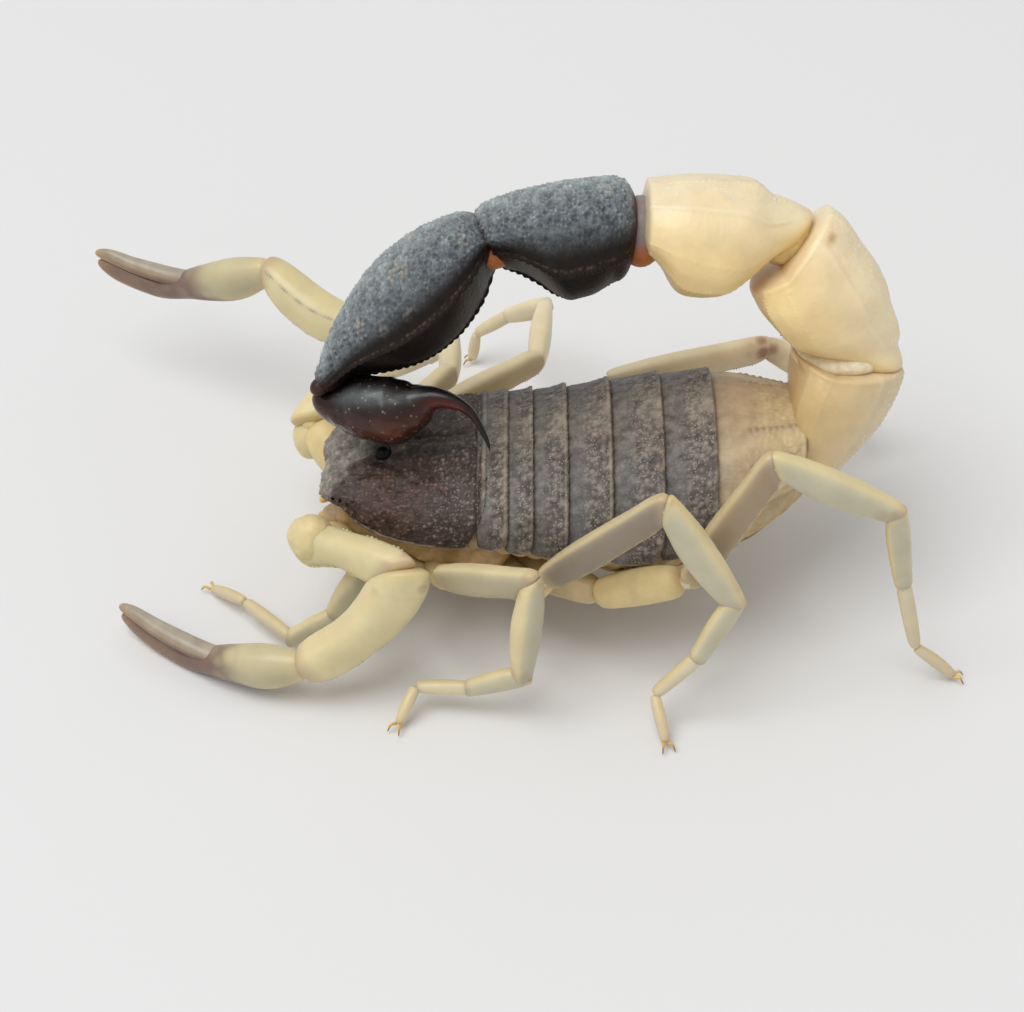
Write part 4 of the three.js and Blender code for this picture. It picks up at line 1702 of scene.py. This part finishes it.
    def lateral_eyes(self, side: Side) -> None:
        """Makes the three small eyes near one front corner.

        Args:
            side: Which side.
        """
        side_edge, height = np.array([side.value * 0.74]), np.array([0.0])
        places = [(self.surface(side_edge, np.array([at]), height)[0], UP * self.BEAD, self.BEAD)
                  for at in self.side_eyes]
        beads = copies(f"lateral_eyes_{side.label}", bead_seed(), places, INK.pitch)
        hand_over(beads, EYE)


# ---------- limbs


LAP = 0.14  # how far a segment's end reaches past its joint
LIMB_GRAIN, LIMB_SPOTS = Grain(0.16, seed=70), Grain(0.55, spread=1.0, seed=75)


@dataclass(frozen=True)
class Limb:
    """The build of one limb segment.

    Attributes:
        wide: Half its width at shares of its length, in millimetres.
        tall: Half its height at shares of its length.
        power: How boxy its section is.
        teeth: The height of the saw teeth along its edges.
        blush: How pink its far end is.
        body: The colour of its flat sides.
        bow: How far its middle bulges upwards.
        lap: How far its start reaches past the joint.
    """

    wide: Stations
    tall: Stations
    power: float
    teeth: float
    blush: float
    body: Colour = INK.glass
    bow: float = 0.0
    lap: float = LAP


FEMUR = Limb(((0, 0.24), (0.3, 0.3), (1, 0.26)),
             ((0, 0.34), (0.15, 0.43), (0.7, 0.46), (0.93, 0.42), (1, 0.33)), 2.9, 0.04, 0.6, INK.haze)
PATELLA = Limb(((0, 0.26), (0.35, 0.35), (1, 0.24)),
               ((0, 0.33), (0.35, 0.5), (0.65, 0.49), (1, 0.32)), 2.6, 0.0, 0.6)
TIBIA = Limb(((0, 0.23), (0.5, 0.24), (1, 0.2)), ((0, 0.29), (0.2, 0.33), (1, 0.25)), 2.4, 0.0, 0.6)
ARM_FEMUR = Limb(((0, 0.56), (0.12, 0.54), (0.35, 0.46), (0.8, 0.46), (1, 0.4)),
                 ((0, 0.6), (0.12, 0.6), (0.35, 0.53), (0.85, 0.57), (1, 0.48)),
                 2.7, 0.07, 0.7, INK.lemon, 0.28)
ARM_PATELLA = Limb(((0, 0.5), (0.25, 0.61), (0.6, 0.63), (0.9, 0.54), (1, 0.42)),
                   ((0, 0.5), (0.2, 0.67), (0.6, 0.7), (0.9, 0.62), (1, 0.46)),
                   2.6, 0.05, 0.9, INK.lemon, -0.6, 0.3)
COARSE_TEETH = 0.045  # teeth higher than this are beads instead of cones
TOOTH_ROOT, TOOTH_TIP = 0.95, 1.25  # how far the section is grown there
PLAIN = (1.0, 1.0, 1.0)


def limb_segment(node: str, start: Joint, end: Joint, limb: Limb, detail: int = 60, stain: float = 0.0,
                 tone: Colour = PLAIN, pale: float = 0.0) -> None:
    """Makes one segment of a leg or pedipalp, with its saw teeth, and hands it over.

    Args:
        node: The CAD node that it stands for.
        start: Its first joint.
        end: Its second joint.
        limb: Its proportions.
        detail: Steps along and around.
        stain: How brown it is near the joint between femur and patella.
        tone: What its colour is multiplied by.
        pale: How far its colour turns to cream, as painted sunlight.
    """
    link = Link(start, end)

    def section(s: Array, a: Array, grow: float = 1.0) -> Array:
        """The segment's points for arrays of s and a, its section grown by a factor."""
        ends = cap(s, 24) * grow
        wide, high = follow(s, limb.wide) * ends, follow(s, limb.tall) * ends
        x, z = oval(a, wide, high, high, limb.power)
        return link.place(x, s, z + limb.bow * np.sin(math.pi * s), (-limb.lap, -LAP))

    skin = Skin(f"{node}_shell", detail, detail // 2 + 8, section)
    s, a = skin.s, np.abs(skin.a)
    edge = smooth(np.abs(np.cos(a)), 0.6, 0.97)
    skin.push(0.012 * LIMB_GRAIN.domes(skin.points) * edge)
    spots = smooth(LIMB_SPOTS.domes(skin.points), 0.3, 0.95)
    ends = bump(s, 0.14, 0.08) if limb.bow < 0 else bump(s, 0.88, 0.08) + bump(s, 0.05, 0.06)
    # The bone coat on the upper side is a painted highlight from the overhead light.
    colour = layers(
        limb.body, (INK.honey, 0.15 + 0.65 * edge), (INK.bone, 0.35 * smooth(np.cos(a), 0.2, 0.9)),
        (INK.honey, 0.5 * smooth(0.15 - s, 0, 0.12)),
        (INK.blush, limb.blush * (0.55 * smooth(s, 0.84, 0.97) + 0.3 * smooth(0.08 - s, 0, 0.07))),
        (INK.blush, 0.55 * limb.blush * spots * ends))
    flat = (1 - 0.75 * edge) * smooth(s, 0.02, 0.12) * smooth(1 - s, 0.02, 0.12)
    near_knee = smooth(s, 0.75, 0.95) if "femur" in node else smooth(0.2 - s, 0, 0.15)
    # The cream share given by pale is painted sunlight.
    skin.paint(layers(colour * (1 - (1 - np.array(tone)) * flat[:, None]), (INK.cream, pale),
                      (INK.rust, stain * near_knee * (0.35 + 0.65 * spots))))
    if limb.teeth:
        add_teeth(skin, link, section, limb)
    skin.done(LIMB, node)


def add_teeth(skin: Skin, link: Link, section: Callable[[Array, Array, float], Array], limb: Limb) -> None:
    """Joins a row of small teeth to each edge of a segment.

    Args:
        skin: The segment.
        link: The stretch that it fills.
        section: Gives points of its surface, grown by a factor.
        limb: Its proportions.
    """
    coarse = limb.teeth > COARSE_TEETH
    count = int(link.length / (1.15 * limb.teeth + 0.055))
    s = np.linspace(0.08, 0.92, count)
    inward = -math.copysign(1, link.across[0] * link.start.point[0])
    places = []
    for angle in np.radians((137, -137, 48 * inward) if coarse else (140, -140)):
        a = np.full(count, angle)
        for index, (foot, tip) in enumerate(zip(section(s, a, TOOTH_ROOT), section(s, a, TOOTH_TIP))):
            size = limb.teeth * (0.8 + 0.4 * math.sin(index * 7.3 + angle * 5))
            places.append((foot, unit(tip - foot) * size * (1.0 if coarse else 1.5),
                           (0.8 if coarse else 0.62) * size))
    seed = bead_seed() if coarse else cone_seed(5)
    teeth = copies(f"{skin.piece.name}_teeth", seed, places, INK.honey if coarse else INK.tan)
    skin.piece = join([skin.piece, teeth], skin.piece.name)


@dataclass
class Leg:
    """A walking leg: two hip pieces, femur, patella, tibia and a clawed foot.

    Attributes:
        side: Which side it is on.
        number: 1 at the front to 4 at the rear.
        inner: Where its coxa begins beside the middle: out, Y and Z.
        outer: Where its coxa ends.
        stain: How brown its knee is.
        tone: What its femur's colour is multiplied by.
        pale: How far its colours turn to cream, as painted sunlight.
    """

    side: Side
    number: int
    inner: Triple
    outer: Triple
    stain: float = 0.0
    tone: Colour = PLAIN
    pale: float = 0.0

    def build(self) -> None:
        """Makes the whole leg."""
        name = f"leg_{self.side.label}_{self.number}"
        nodes = ["underside", *(f"{name}_{part}" for part in ("femur", "patella", "tibia", "foot"))]
        hip, knee, shin, ankle = (joint_between(a, b) for a, b in zip(nodes, nodes[1:]))
        start, end = (in_body(self.side.value * x, y, z) for x, y, z in (self.inner, self.outer))
        coxa(name, start, end, hip.point, 0.55, 0.5 if self.number == 4 else 0.34)
        limb_segment(nodes[1], hip, knee, FEMUR, stain=self.stain, tone=self.tone, pale=self.pale)
        limb_segment(nodes[2], knee, shin, PATELLA, stain=self.stain, pale=self.pale)
        limb_segment(nodes[3], shin, ankle, TIBIA, pale=self.pale)
        balls = (("hip", hip, 0.24), ("knee", knee, 0.24), ("shin", shin, 0.2), ("ankle", ankle, 0.17))
        for part, joint, size in balls:
            soft_ball(f"{name}_{part}_membrane", joint, size, 0.28, INK.bone, INK.bone)
        self.foot(name, ankle)

    def foot(self, name: str, ankle: Joint) -> None:
        """Makes the two foot joints and the claws.

        Args:
            name: The leg's name.
            ankle: The foot's joint.
        """
        seen = corners(f"{name}_foot")
        low = seen[seen[:, 2] < 0.02]
        sole = low.mean(axis=0) + np.array([0, 0, 0.2])
        line = unit(sole - ankle.point)
        away = seen - ankle.point
        off = away - (away @ line)[:, None] * line
        far = np.linalg.norm(off, axis=1)
        bend = seen[far > far.max() - 0.08].mean(axis=0)
        bend = bend - 0.16 * unit(off[np.argmax(far)])
        toe = unit((sole - bend) * np.array([1, 1, 0.0]))
        tip = sole + toe * 0.1
        first = Course([ankle.point, (ankle.point + bend) / 2, bend])
        self.finish(first.skin(f"{name}_basitarsus", 40, 24, ((0, 0.19), (0.6, 0.2), (1, 0.17)),
                               ((0, 0.22), (0.5, 0.22), (1, 0.17))), 0.35)
        second = Course([bend, (bend + tip) / 2 + UP * 0.04, tip])
        self.finish(second.skin(f"{name}_telotarsus", 40, 24, ((0, 0.15), (0.5, 0.17), (1, 0.12)),
                                ((0, 0.15), (0.6, 0.19), (1, 0.15))), 0.6, f"{name}_foot")
        sideways = np.cross(toe, UP)
        for index, way in enumerate((-1, 1)):
            root = tip + sideways * 0.06 * way + UP * 0.02
            claw = Course([root, root + toe * 0.16 + sideways * 0.07 * way + UP * 0.05,
                           root + toe * 0.3 + sideways * 0.13 * way - UP * 0.14])
            nail = claw.skin(f"{name}_claw_{index + 1}", 16, 10, ((0, 0.055), (1, 0.012)),
                             ((0, 0.06), (1, 0.012)))
            nail.paint(blend(INK.amber, INK.russet, smooth(nail.s, 0.3, 1.0))).done(CLAW)

    def finish(self, skin: Skin, share: float, *nodes: str) -> None:
        """Paints a foot joint, a share of it pink, and hands it over.

        Args:
            skin: The foot joint.
            share: How pink it is.
            nodes: The CAD nodes that it stands for.
        """
        edge = smooth(np.abs(np.cos(skin.a)), 0.6, 1.0)
        skin.paint(layers(INK.bone, (INK.honey, 0.5 * edge),
                          (INK.blush, share * (0.3 + 0.4 * smooth(skin.s, 0.8, 1.0))))).done(LIMB, *nodes)


def coxa(name: str, start: Array, end: Array, hip: Array, radius: float, second: float) -> None:
    """Makes the hip pieces of a limb: the coxa under the body and the trochanter.

    Args:
        name: The limb's name.
        start: Where the coxa begins.
        end: Where it ends.
        hip: The femur's first joint.
        radius: Half the coxa's width.
        second: Half the trochanter's width.
    """
    middle = (start + end) / 2 - UP * 0.08
    skin = Course([start, middle, end]).skin(
        f"{name}_coxa", 40, 32, ((0, radius * 0.6), (0.5, radius), (1, radius * 0.75)),
        ((0, radius * 0.7), (0.5, radius), (1, radius * 0.7)))
    skin.paint(blend(INK.tan, INK.straw, 0.4 + 0.5 * smooth(skin.s, 0.3, 1.0))).done(PALE_PLATE)
    way = unit(hip - end)
    near = end - way * 0.15
    skin = Course([near, (near + hip) / 2 + UP * 0.05, hip - way * 0.12]).skin(
        f"{name}_trochanter", 30, 28, ((0, second * 0.85), (0.5, second), (1, second * 0.85)),
        ((0, second * 0.9), (0.5, second * 1.1), (1, second * 0.95)), ends=10)
    skin.paint(layers(INK.straw, (INK.honey, 0.5 + 0.4 * skin.s),
                      (INK.blush, 0.25 * smooth(skin.s, 0.85, 1.0)))).done(PALE_PLATE)


@dataclass
class Pedipalp:
    """An arm with its pincer.

    Attributes:
        side: Which side it is on.
        knob: Where the swollen part of its trochanter lies, from the femur's first joint.
        sag: How far the middle of the pincer lies from the straight line to its tip.
        outer: Where its coxa ends.
        inner: Where its coxa begins.
    """

    LUMPS, FINE = Grain(0.5, seed=95), Grain(0.17, seed=96)
    CLOUD = Grain(0.5, spread=1.0, seed=97)
    KNOB = np.array([0.6, 0.66, 0.7])  # the swollen part's half sizes

    side: Side
    knob: Triple
    sag: Triple
    outer: Triple = (1.6, -4.9, 2.8)
    inner: Triple = (0.6, -3.9, 2.0)

    def build(self) -> None:
        """Makes the whole arm."""
        name = f"pedipalp_{self.side.label}"
        nodes = ["underside", *(f"{name}_{part}" for part in ("femur", "patella", "hand"))]
        hip, elbow, wrist = (joint_between(a, b) for a, b in zip(nodes, nodes[1:]))
        start, end = (in_body(self.side.value * x, y, z) for x, y, z in (self.inner, self.outer))
        coxa(name, start, end, hip.point, 0.75, 0.6)
        self.swelling(name, hip.point + np.array(self.knob))
        limb_segment(nodes[1], hip, elbow, ARM_FEMUR, 90)
        limb_segment(nodes[2], elbow, wrist, ARM_PATELLA, 90)
        for part, joint, size in (("hip", hip, 0.36), ("elbow", elbow, 0.38), ("wrist", wrist, 0.34)):
            soft_ball(f"{name}_{part}_membrane", joint, size, 0.34, INK.honey, INK.honey)
        self.pincer(name, wrist)

    def swelling(self, name: str, middle: Array) -> None:
        """Makes the lumpy trochanter round the femur's start.

        Args:
            name: The arm's name.
            middle: Where it lies.
        """
        def shape(s: Array, a: Array) -> Array:
            """The knob's points for arrays of s and a."""
            wide = np.sin(math.pi * s)
            ball = np.stack([wide * np.sin(a), -np.cos(math.pi * s), wide * np.cos(a)], axis=1)
            return middle + ball * self.KNOB

        skin = Skin(f"{name}_trochanter_knob", 70, 70, shape)
        lumps, fine = self.LUMPS.domes(skin.points), self.FINE.domes(skin.points)
        skin.push(0.05 * lumps + 0.012 * fine)
        skin.paint(layers(INK.lemon, (INK.honey, 0.5 + 0.2 * lumps), (INK.cream, 0.15 * fine))).done(LIMB)

    def pincer(self, name: str, wrist: Joint) -> None:
        """Makes the hand with its fixed finger, and the movable one.

        Args:
            name: The arm's name.
            wrist: The hand's joint.
        """
        palm, finger = corners(f"{name}_hand"), corners(f"{name}_movable_finger")

        def farthest(points: Array, least: bool = False) -> Array:
            """The middle of the points farthest from the wrist, or nearest to it."""
            away = np.linalg.norm(points - wrist.point, axis=1)
            chosen = away < away.min() + 0.3 if least else away > away.max() - 0.25
            return points[chosen].mean(axis=0)

        fixed_tip, moved_tip, root = farthest(palm), farthest(finger), farthest(finger, least=True)
        tip = (fixed_tip + moved_tip) / 2
        line = unit(tip - wrist.point)
        offset = unit((moved_tip - fixed_tip) - ((moved_tip - fixed_tip) @ line) * line)
        reach = float(np.linalg.norm(tip - wrist.point))
        joint = float((root - wrist.point) @ line) / reach + 0.02
        bow = np.array(self.sag)

        def middle(share: float) -> Array:
            """A place on the bowed middle line."""
            return wrist.point + line * reach * share + bow * math.sin(math.pi * share)

        depth = ((joint - 0.05, 0.46), (joint + 0.2, 0.47), (0.8, 0.46), (0.94, 0.4), (1.0, 0.26))

        def beside(way: float, *shares: float) -> list[Array]:
            """Places at shares of the middle line, moved aside by a share of the pincer's half depth."""
            return [middle(x) + offset * way * float(follow(np.array([x]), depth)[0]) * 0.52
                    for x in shares]

        outward = joint + 0.12, 0.78, 0.92, 1.0
        stops = [wrist.point - line * 0.1, middle(joint * 0.4), middle(joint * 0.8)]
        hand = Course(stops + beside(-1.35, *outward), offset)
        base = float(hand.places[2])
        skin = hand.skin(f"{name}_palm", 150, 56,
                         ((0, 0.34), (base * 0.5, 0.56), (base * 0.9, 0.47), (base + 0.15, 0.31),
                          (0.8, 0.24), (1, 0.12)),
                         ((0, 0.4), (base * 0.45, 0.68), (base * 0.85, 0.6), (base + 0.1, 0.41),
                          (base + 0.25, 0.32), (0.8, 0.32), (0.94, 0.25), (1, 0.13)), 2.25, 40)
        skin.paint(self.hand_colours(skin, base)).done(LIMB, f"{name}_hand")
        moved = Course(beside(0.35, joint - 0.22) + beside(0.85, joint) + beside(1.05, *outward), offset)
        skin = moved.skin(f"{name}_finger", 110, 36, ((0, 0.24), (0.2, 0.29), (0.7, 0.24), (1, 0.12)),
                          ((0, 0.2), (0.2, 0.25), (0.7, 0.25), (0.92, 0.2), (1, 0.1)), 2.25, 30)
        skin.paint(self.finger_colours(skin)).done(FINGER, f"{name}_movable_finger")

    def finger_colours(self, skin: Skin) -> Array:
        """Smoky with plum below, lighter grey on top and a pale tip.

        Args:
            skin: The finger.

        Returns:
            An (n, 3) array.
        """
        s, top = skin.s, np.cos(skin.a)
        streak = 0.5 + 0.5 * np.sin(skin.a * 9)
        return layers(
            INK.smoke, (INK.plum, 0.85 * smooth(-top, -0.4, 0.3) * smooth(0.95 - s, 0, 0.5)),
            (INK.dust, 0.75 * smooth(top, 0.2, 0.9)),
            (INK.glass, 0.25 * streak * smooth(s, 0.1, 0.5) * smooth(top, -0.3, 0.5)),
            (INK.plum, 0.6 * bump(s, 0.22, 0.13) * smooth(-top, -0.6, 0.4)),
            (INK.lemon, 0.5 * smooth(0.3 - s, 0, 0.25) * smooth(top, 0, 0.6)),
            (INK.tan, 0.6 * smooth(s, 0.8, 1.0)))

    def hand_colours(self, skin: Skin, base: float) -> Array:
        """Pale hand, plum band at the fingers' base, smoky finger with a pale tip.

        Args:
            skin: The hand.
            base: Where the fingers begin, as a share of the length.

        Returns:
            An (n, 3) array.
        """
        s, top = skin.s, np.cos(skin.a)
        under = smooth(-top, 0.1, 0.9)
        cloud = self.CLOUD.domes(skin.points)
        reach = base * (0.88 - 0.3 * under) + 0.06 * cloud
        far = smooth(s, base + 0.12, base + 0.5)
        return layers(
            INK.haze, (INK.lemon, 0.35 + 0.35 * smooth(top, -0.2, 0.9)),
            (INK.honey, 0.5 * smooth(0.1 - s, 0, 0.1) + 0.4 * under),
            (INK.plum, (0.92 - 0.15 * cloud) * smooth(s - reach, -0.1, 0.08)), (INK.smoke, 0.85 * far),
            (INK.plum, 0.6 * (1 - under) * far), (INK.ochre, 0.75 * under * far),
            (INK.tan, 0.5 * smooth(s, 0.88, 1.0)))


# ---------- mouth and underside


@dataclass
class Chelicera:
    """One of the two small pincers at the mouth.

    Attributes:
        side: Which side it is on.
        apart: Between the middles of the two.
        start_y: Y where its palm begins.
        z: How high it lies.
    """

    side: Side
    apart: float = 1.2
    start_y: float = -4.62
    z: float = 2.95

    def build(self) -> None:
        """Makes the pincer."""
        sign = self.side.value
        name = f"chelicera_{self.side.label}"
        x = sign * self.apart / 2
        palm = Course([in_body(x * 0.95, self.start_y + 0.3, self.z),
                       in_body(x, self.start_y - 0.35, self.z + 0.08),
                       in_body(x, self.start_y - 0.95, self.z)])
        skin = palm.skin(f"{name}_palm", 40, 32, ((0, 0.3), (0.5, 0.42), (1, 0.3)),
                         ((0, 0.3), (0.55, 0.42), (1, 0.28)), ends=6)
        grain = Grain(0.2, seed=90).domes(skin.points)
        skin.push(0.015 * grain)
        skin.paint(layers(INK.tan, (INK.straw, 0.25 * smooth(np.cos(skin.a), 0, 1)),
                          (INK.umber, 0.35 * grain))).done(PALE_PLATE, name)
        for index, (way, long) in enumerate(((-1, 0.26), (1, 0.3))):
            root = in_body(x + 0.14 * way * sign, self.start_y - 0.8, self.z - 0.03)
            finger = Course([root, root + np.array([0.1 * way * sign, -long * 0.55, -0.06]),
                             root + np.array([-0.03 * way * sign, -long, -0.2])])
            claw = finger.skin(f"{name}_finger_{index + 1}", 24, 16, ((0, 0.13), (0.5, 0.11), (1, 0.03)),
                               ((0, 0.14), (0.5, 0.11), (1, 0.03)), ends=20)
            claw.paint(blend(INK.amber, INK.rust, 0.6 * smooth(claw.s, 0.5, 1.0)))
            claw.done(PALE_PLATE)


@dataclass
class Underside:
    """What lies between the legs: the soft flank, breastbone, genital lids and combs.

    Attributes:
        comb_teeth: How many teeth each comb has.
    """

    comb_teeth: int = 24

    def build(self) -> None:
        """Makes all of it."""
        flank = Course([in_body(0, -5.25, 3.25), in_body(0, -3.0, 3.25), in_body(0, 0.2, 3.4)])
        skin = flank.skin("prosoma_flank", 90, 90, ((0, 1.25), (0.35, 2.0), (0.75, 2.72), (1, 2.7)),
                          ((0, 0.75), (0.4, 1.05), (1, 1.2)), 2.6, 12)
        folds = np.sin(skin.points[:, 1] * 9 + 3 * np.sin(skin.a * 4))
        skin.push(0.03 * folds)
        skin.paint(blend(INK.tan, INK.ochre, 0.35 + 0.25 * smooth(folds, -1, 1)))
        skin.done(MEMBRANE, "underside")
        bone = Course([in_body(0, -1.5, 1.75), in_body(0, -0.4, 1.72)])
        skin = bone.skin("sternum", 24, 24, ((0, 0.12), (1, 0.4)), ((0, 0.3), (1, 0.3)), 3, 10)
        skin.paint(np.array(INK.straw)).done(PALE_PLATE)
        for side in Side:
            self.lid(side)
            self.comb(side)

    def lid(self, side: Side) -> None:
        """Makes one of the two genital lids.

        Args:
            side: Which side.
        """
        lid = Course([in_body(side.value * 0.3, -0.25, 1.8), in_body(side.value * 0.34, 0.45, 1.82)])
        skin = lid.skin(f"genital_lid_{side.label}", 20, 24, ((0, 0.24), (0.5, 0.3), (1, 0.2)),
                        ((0, 0.2), (1, 0.2)), 2.4, 6)
        skin.paint(np.array(INK.straw)).done(PALE_PLATE)

    def comb(self, side: Side) -> None:
        """Makes one of the two sensory combs.

        Args:
            side: Which side.
        """
        bar = Course([in_body(side.value * 0.25, 0.75, 1.95), in_body(side.value * 1.5, 1.35, 1.85),
                      in_body(side.value * 2.7, 2.6, 2.2)])
        skin = bar.skin(f"comb_{side.label}", 60, 18, ((0, 0.2), (0.5, 0.22), (1, 0.1)),
                        ((0, 0.13), (1, 0.09)), 2.4, 14)
        skin.paint(blend(INK.straw, INK.honey, 0.4 * skin.s))
        s = np.linspace(0.06, 0.97, self.comb_teeth)
        places = [(foot, unit(np.array([0, 1.0, -0.15]) - way * (way @ REARWARD)) * 0.42, 0.055)
                  for foot, way in zip(bar.at(s), bar.frame(s)[1])]
        teeth = copies(f"comb_teeth_{side.label}", cone_seed(6), places, INK.cream)
        skin.piece = join([skin.piece, teeth], skin.piece.name)
        skin.done(PALE_PLATE)


# ---------- stage


@dataclass
class Stage:
    """The pale floor, the light and the camera.

    Attributes:
        azimuth: The camera's bearing in degrees; 90 looks from the animal's left.
        elevation: Its height in degrees.
        distance: From the aim, in millimetres.
        lens: In millimetres.
        sensor: The width of its sensor in millimetres.
        aim: What it looks at, in the animal's own frame.
        key_watts: The power of the light overhead.
        key_way: From the animal to that light.
        key_distance: How far away it hangs, in metres.
        key_size: Its width in metres.
        sky_strength: The level light from all round.
        floor_grey: How light the floor is.
        floor_size: Its width in metres.
    """

    azimuth: float = 90
    elevation: float = 41
    distance: float = 70
    lens: float = 83.7
    sensor: float = 36
    aim: Triple = (0, 0, 2.9)
    key_watts: float = 1.0
    key_way: Triple = (0.25, -0.35, 1.0)
    key_distance: float = 0.4
    key_size: float = 0.3
    sky_strength: float = 0.5
    floor_grey: float = 0.82
    floor_size: float = 3

    def build(self) -> None:
        """Sets the scene up."""
        scene = bpy.context.scene
        scene.view_settings.view_transform = "Standard"
        scene.view_settings.look = "None"
        self.floor()
        self.sky(scene)
        self.key()
        turn, tilt = math.radians(self.azimuth), math.radians(self.elevation)
        back = Vector((math.sin(turn) * math.cos(tilt), -math.cos(turn) * math.cos(tilt), math.sin(tilt)))
        aim = Vector(in_body(*self.aim)) * MM
        bpy.ops.object.camera_add(location=aim + back * self.distance * MM)
        camera = bpy.context.active_object
        camera.name = "camera"
        camera.rotation_euler = back.to_track_quat("Z", "Y").to_euler()
        camera.data.lens = self.lens
        camera.data.sensor_width = self.sensor
        camera.data.clip_start = MM
        scene.camera = camera

    def floor(self) -> None:
        """Lays the floor."""
        deselect()
        bpy.ops.mesh.primitive_plane_add(size=self.floor_size)
        floor = bpy.context.active_object
        floor.name = "floor"
        paint = bpy.data.materials.new("floor paint")
        paint.use_nodes = True
        shader = paint.node_tree.nodes["Principled BSDF"]
        shader.inputs["Base Color"].default_value = (*[self.floor_grey] * 3, 1)
        shader.inputs["Roughness"].default_value = 0.9
        floor.data.materials.append(paint)

    def sky(self, scene: bpy.types.Scene) -> None:
        """Makes the level light from all round.

        Args:
            scene: The scene.
        """
        world = bpy.data.worlds.new("sky")
        world.use_nodes = True
        ground = world.node_tree.nodes["Background"]
        ground.inputs["Color"].default_value = (1, 1, 1, 1)
        ground.inputs["Strength"].default_value = self.sky_strength
        scene.world = world

    def key(self) -> None:
        """Hangs a wide soft light overhead, a little towards the head."""
        aim = Vector(in_body(0, 0, 3)) * MM
        way = Vector(self.key_way).normalized()
        bpy.ops.object.light_add(type="AREA", location=aim + way * self.key_distance)
        light = bpy.context.active_object
        light.name = "key"
        light.data.energy = self.key_watts
        light.data.size = self.key_size
        light.rotation_euler = way.to_track_quat("Z", "Y").to_euler()


# ---------- the whole animal


ARMS = (
    Pedipalp(Side.LEFT, (0.0, -0.08, 0.35), (0.47, 0.0, -0.43)),
    Pedipalp(Side.RIGHT, (0.0, 0.05, -0.55), (0.0, 0.0, -0.8)),
)
LEGS = (
    Leg(Side.LEFT, 1, (0.5, -3.1, 1.9), (1.5, -2.4, 1.9)),
    Leg(Side.LEFT, 2, (0.5, -2.3, 1.95), (2.7, -1.9, 2.5)),
    Leg(Side.LEFT, 3, (0.6, -1.4, 1.95), (3.1, 0.6, 2.3), tone=(0.64, 0.6, 0.68)),
    Leg(Side.LEFT, 4, (0.65, -0.6, 1.95), (3.35, 2.5, 2.5), tone=(0.86, 0.74, 0.72)),
    # The right legs' pale shares are painted sunlight on the far side.
    Leg(Side.RIGHT, 1, (0.5, -3.1, 1.9), (2.0, -3.1, 2.3), pale=0.4),
    Leg(Side.RIGHT, 2, (0.5, -2.3, 1.95), (2.7, -1.9, 2.5), pale=0.5),
    Leg(Side.RIGHT, 3, (0.6, -1.4, 1.95), (3.1, 0.6, 1.9), pale=0.5),
    Leg(Side.RIGHT, 4, (0.65, -0.6, 1.95), (3.6, 2.4, 2.1), stain=0.8, pale=0.9),
)


def main() -> None:
    """Builds everything."""
    logging.basicConfig(level=logging.INFO, format="%(message)s")
    HeadShield().build()
    Body().build()
    Tail().build()
    Underside().build()
    for side in Side:
        Chelicera(side).build()
    for limb in (*ARMS, *LEGS):
        limb.build()
    Stage().build()


if __name__ == "__main__":
    main()
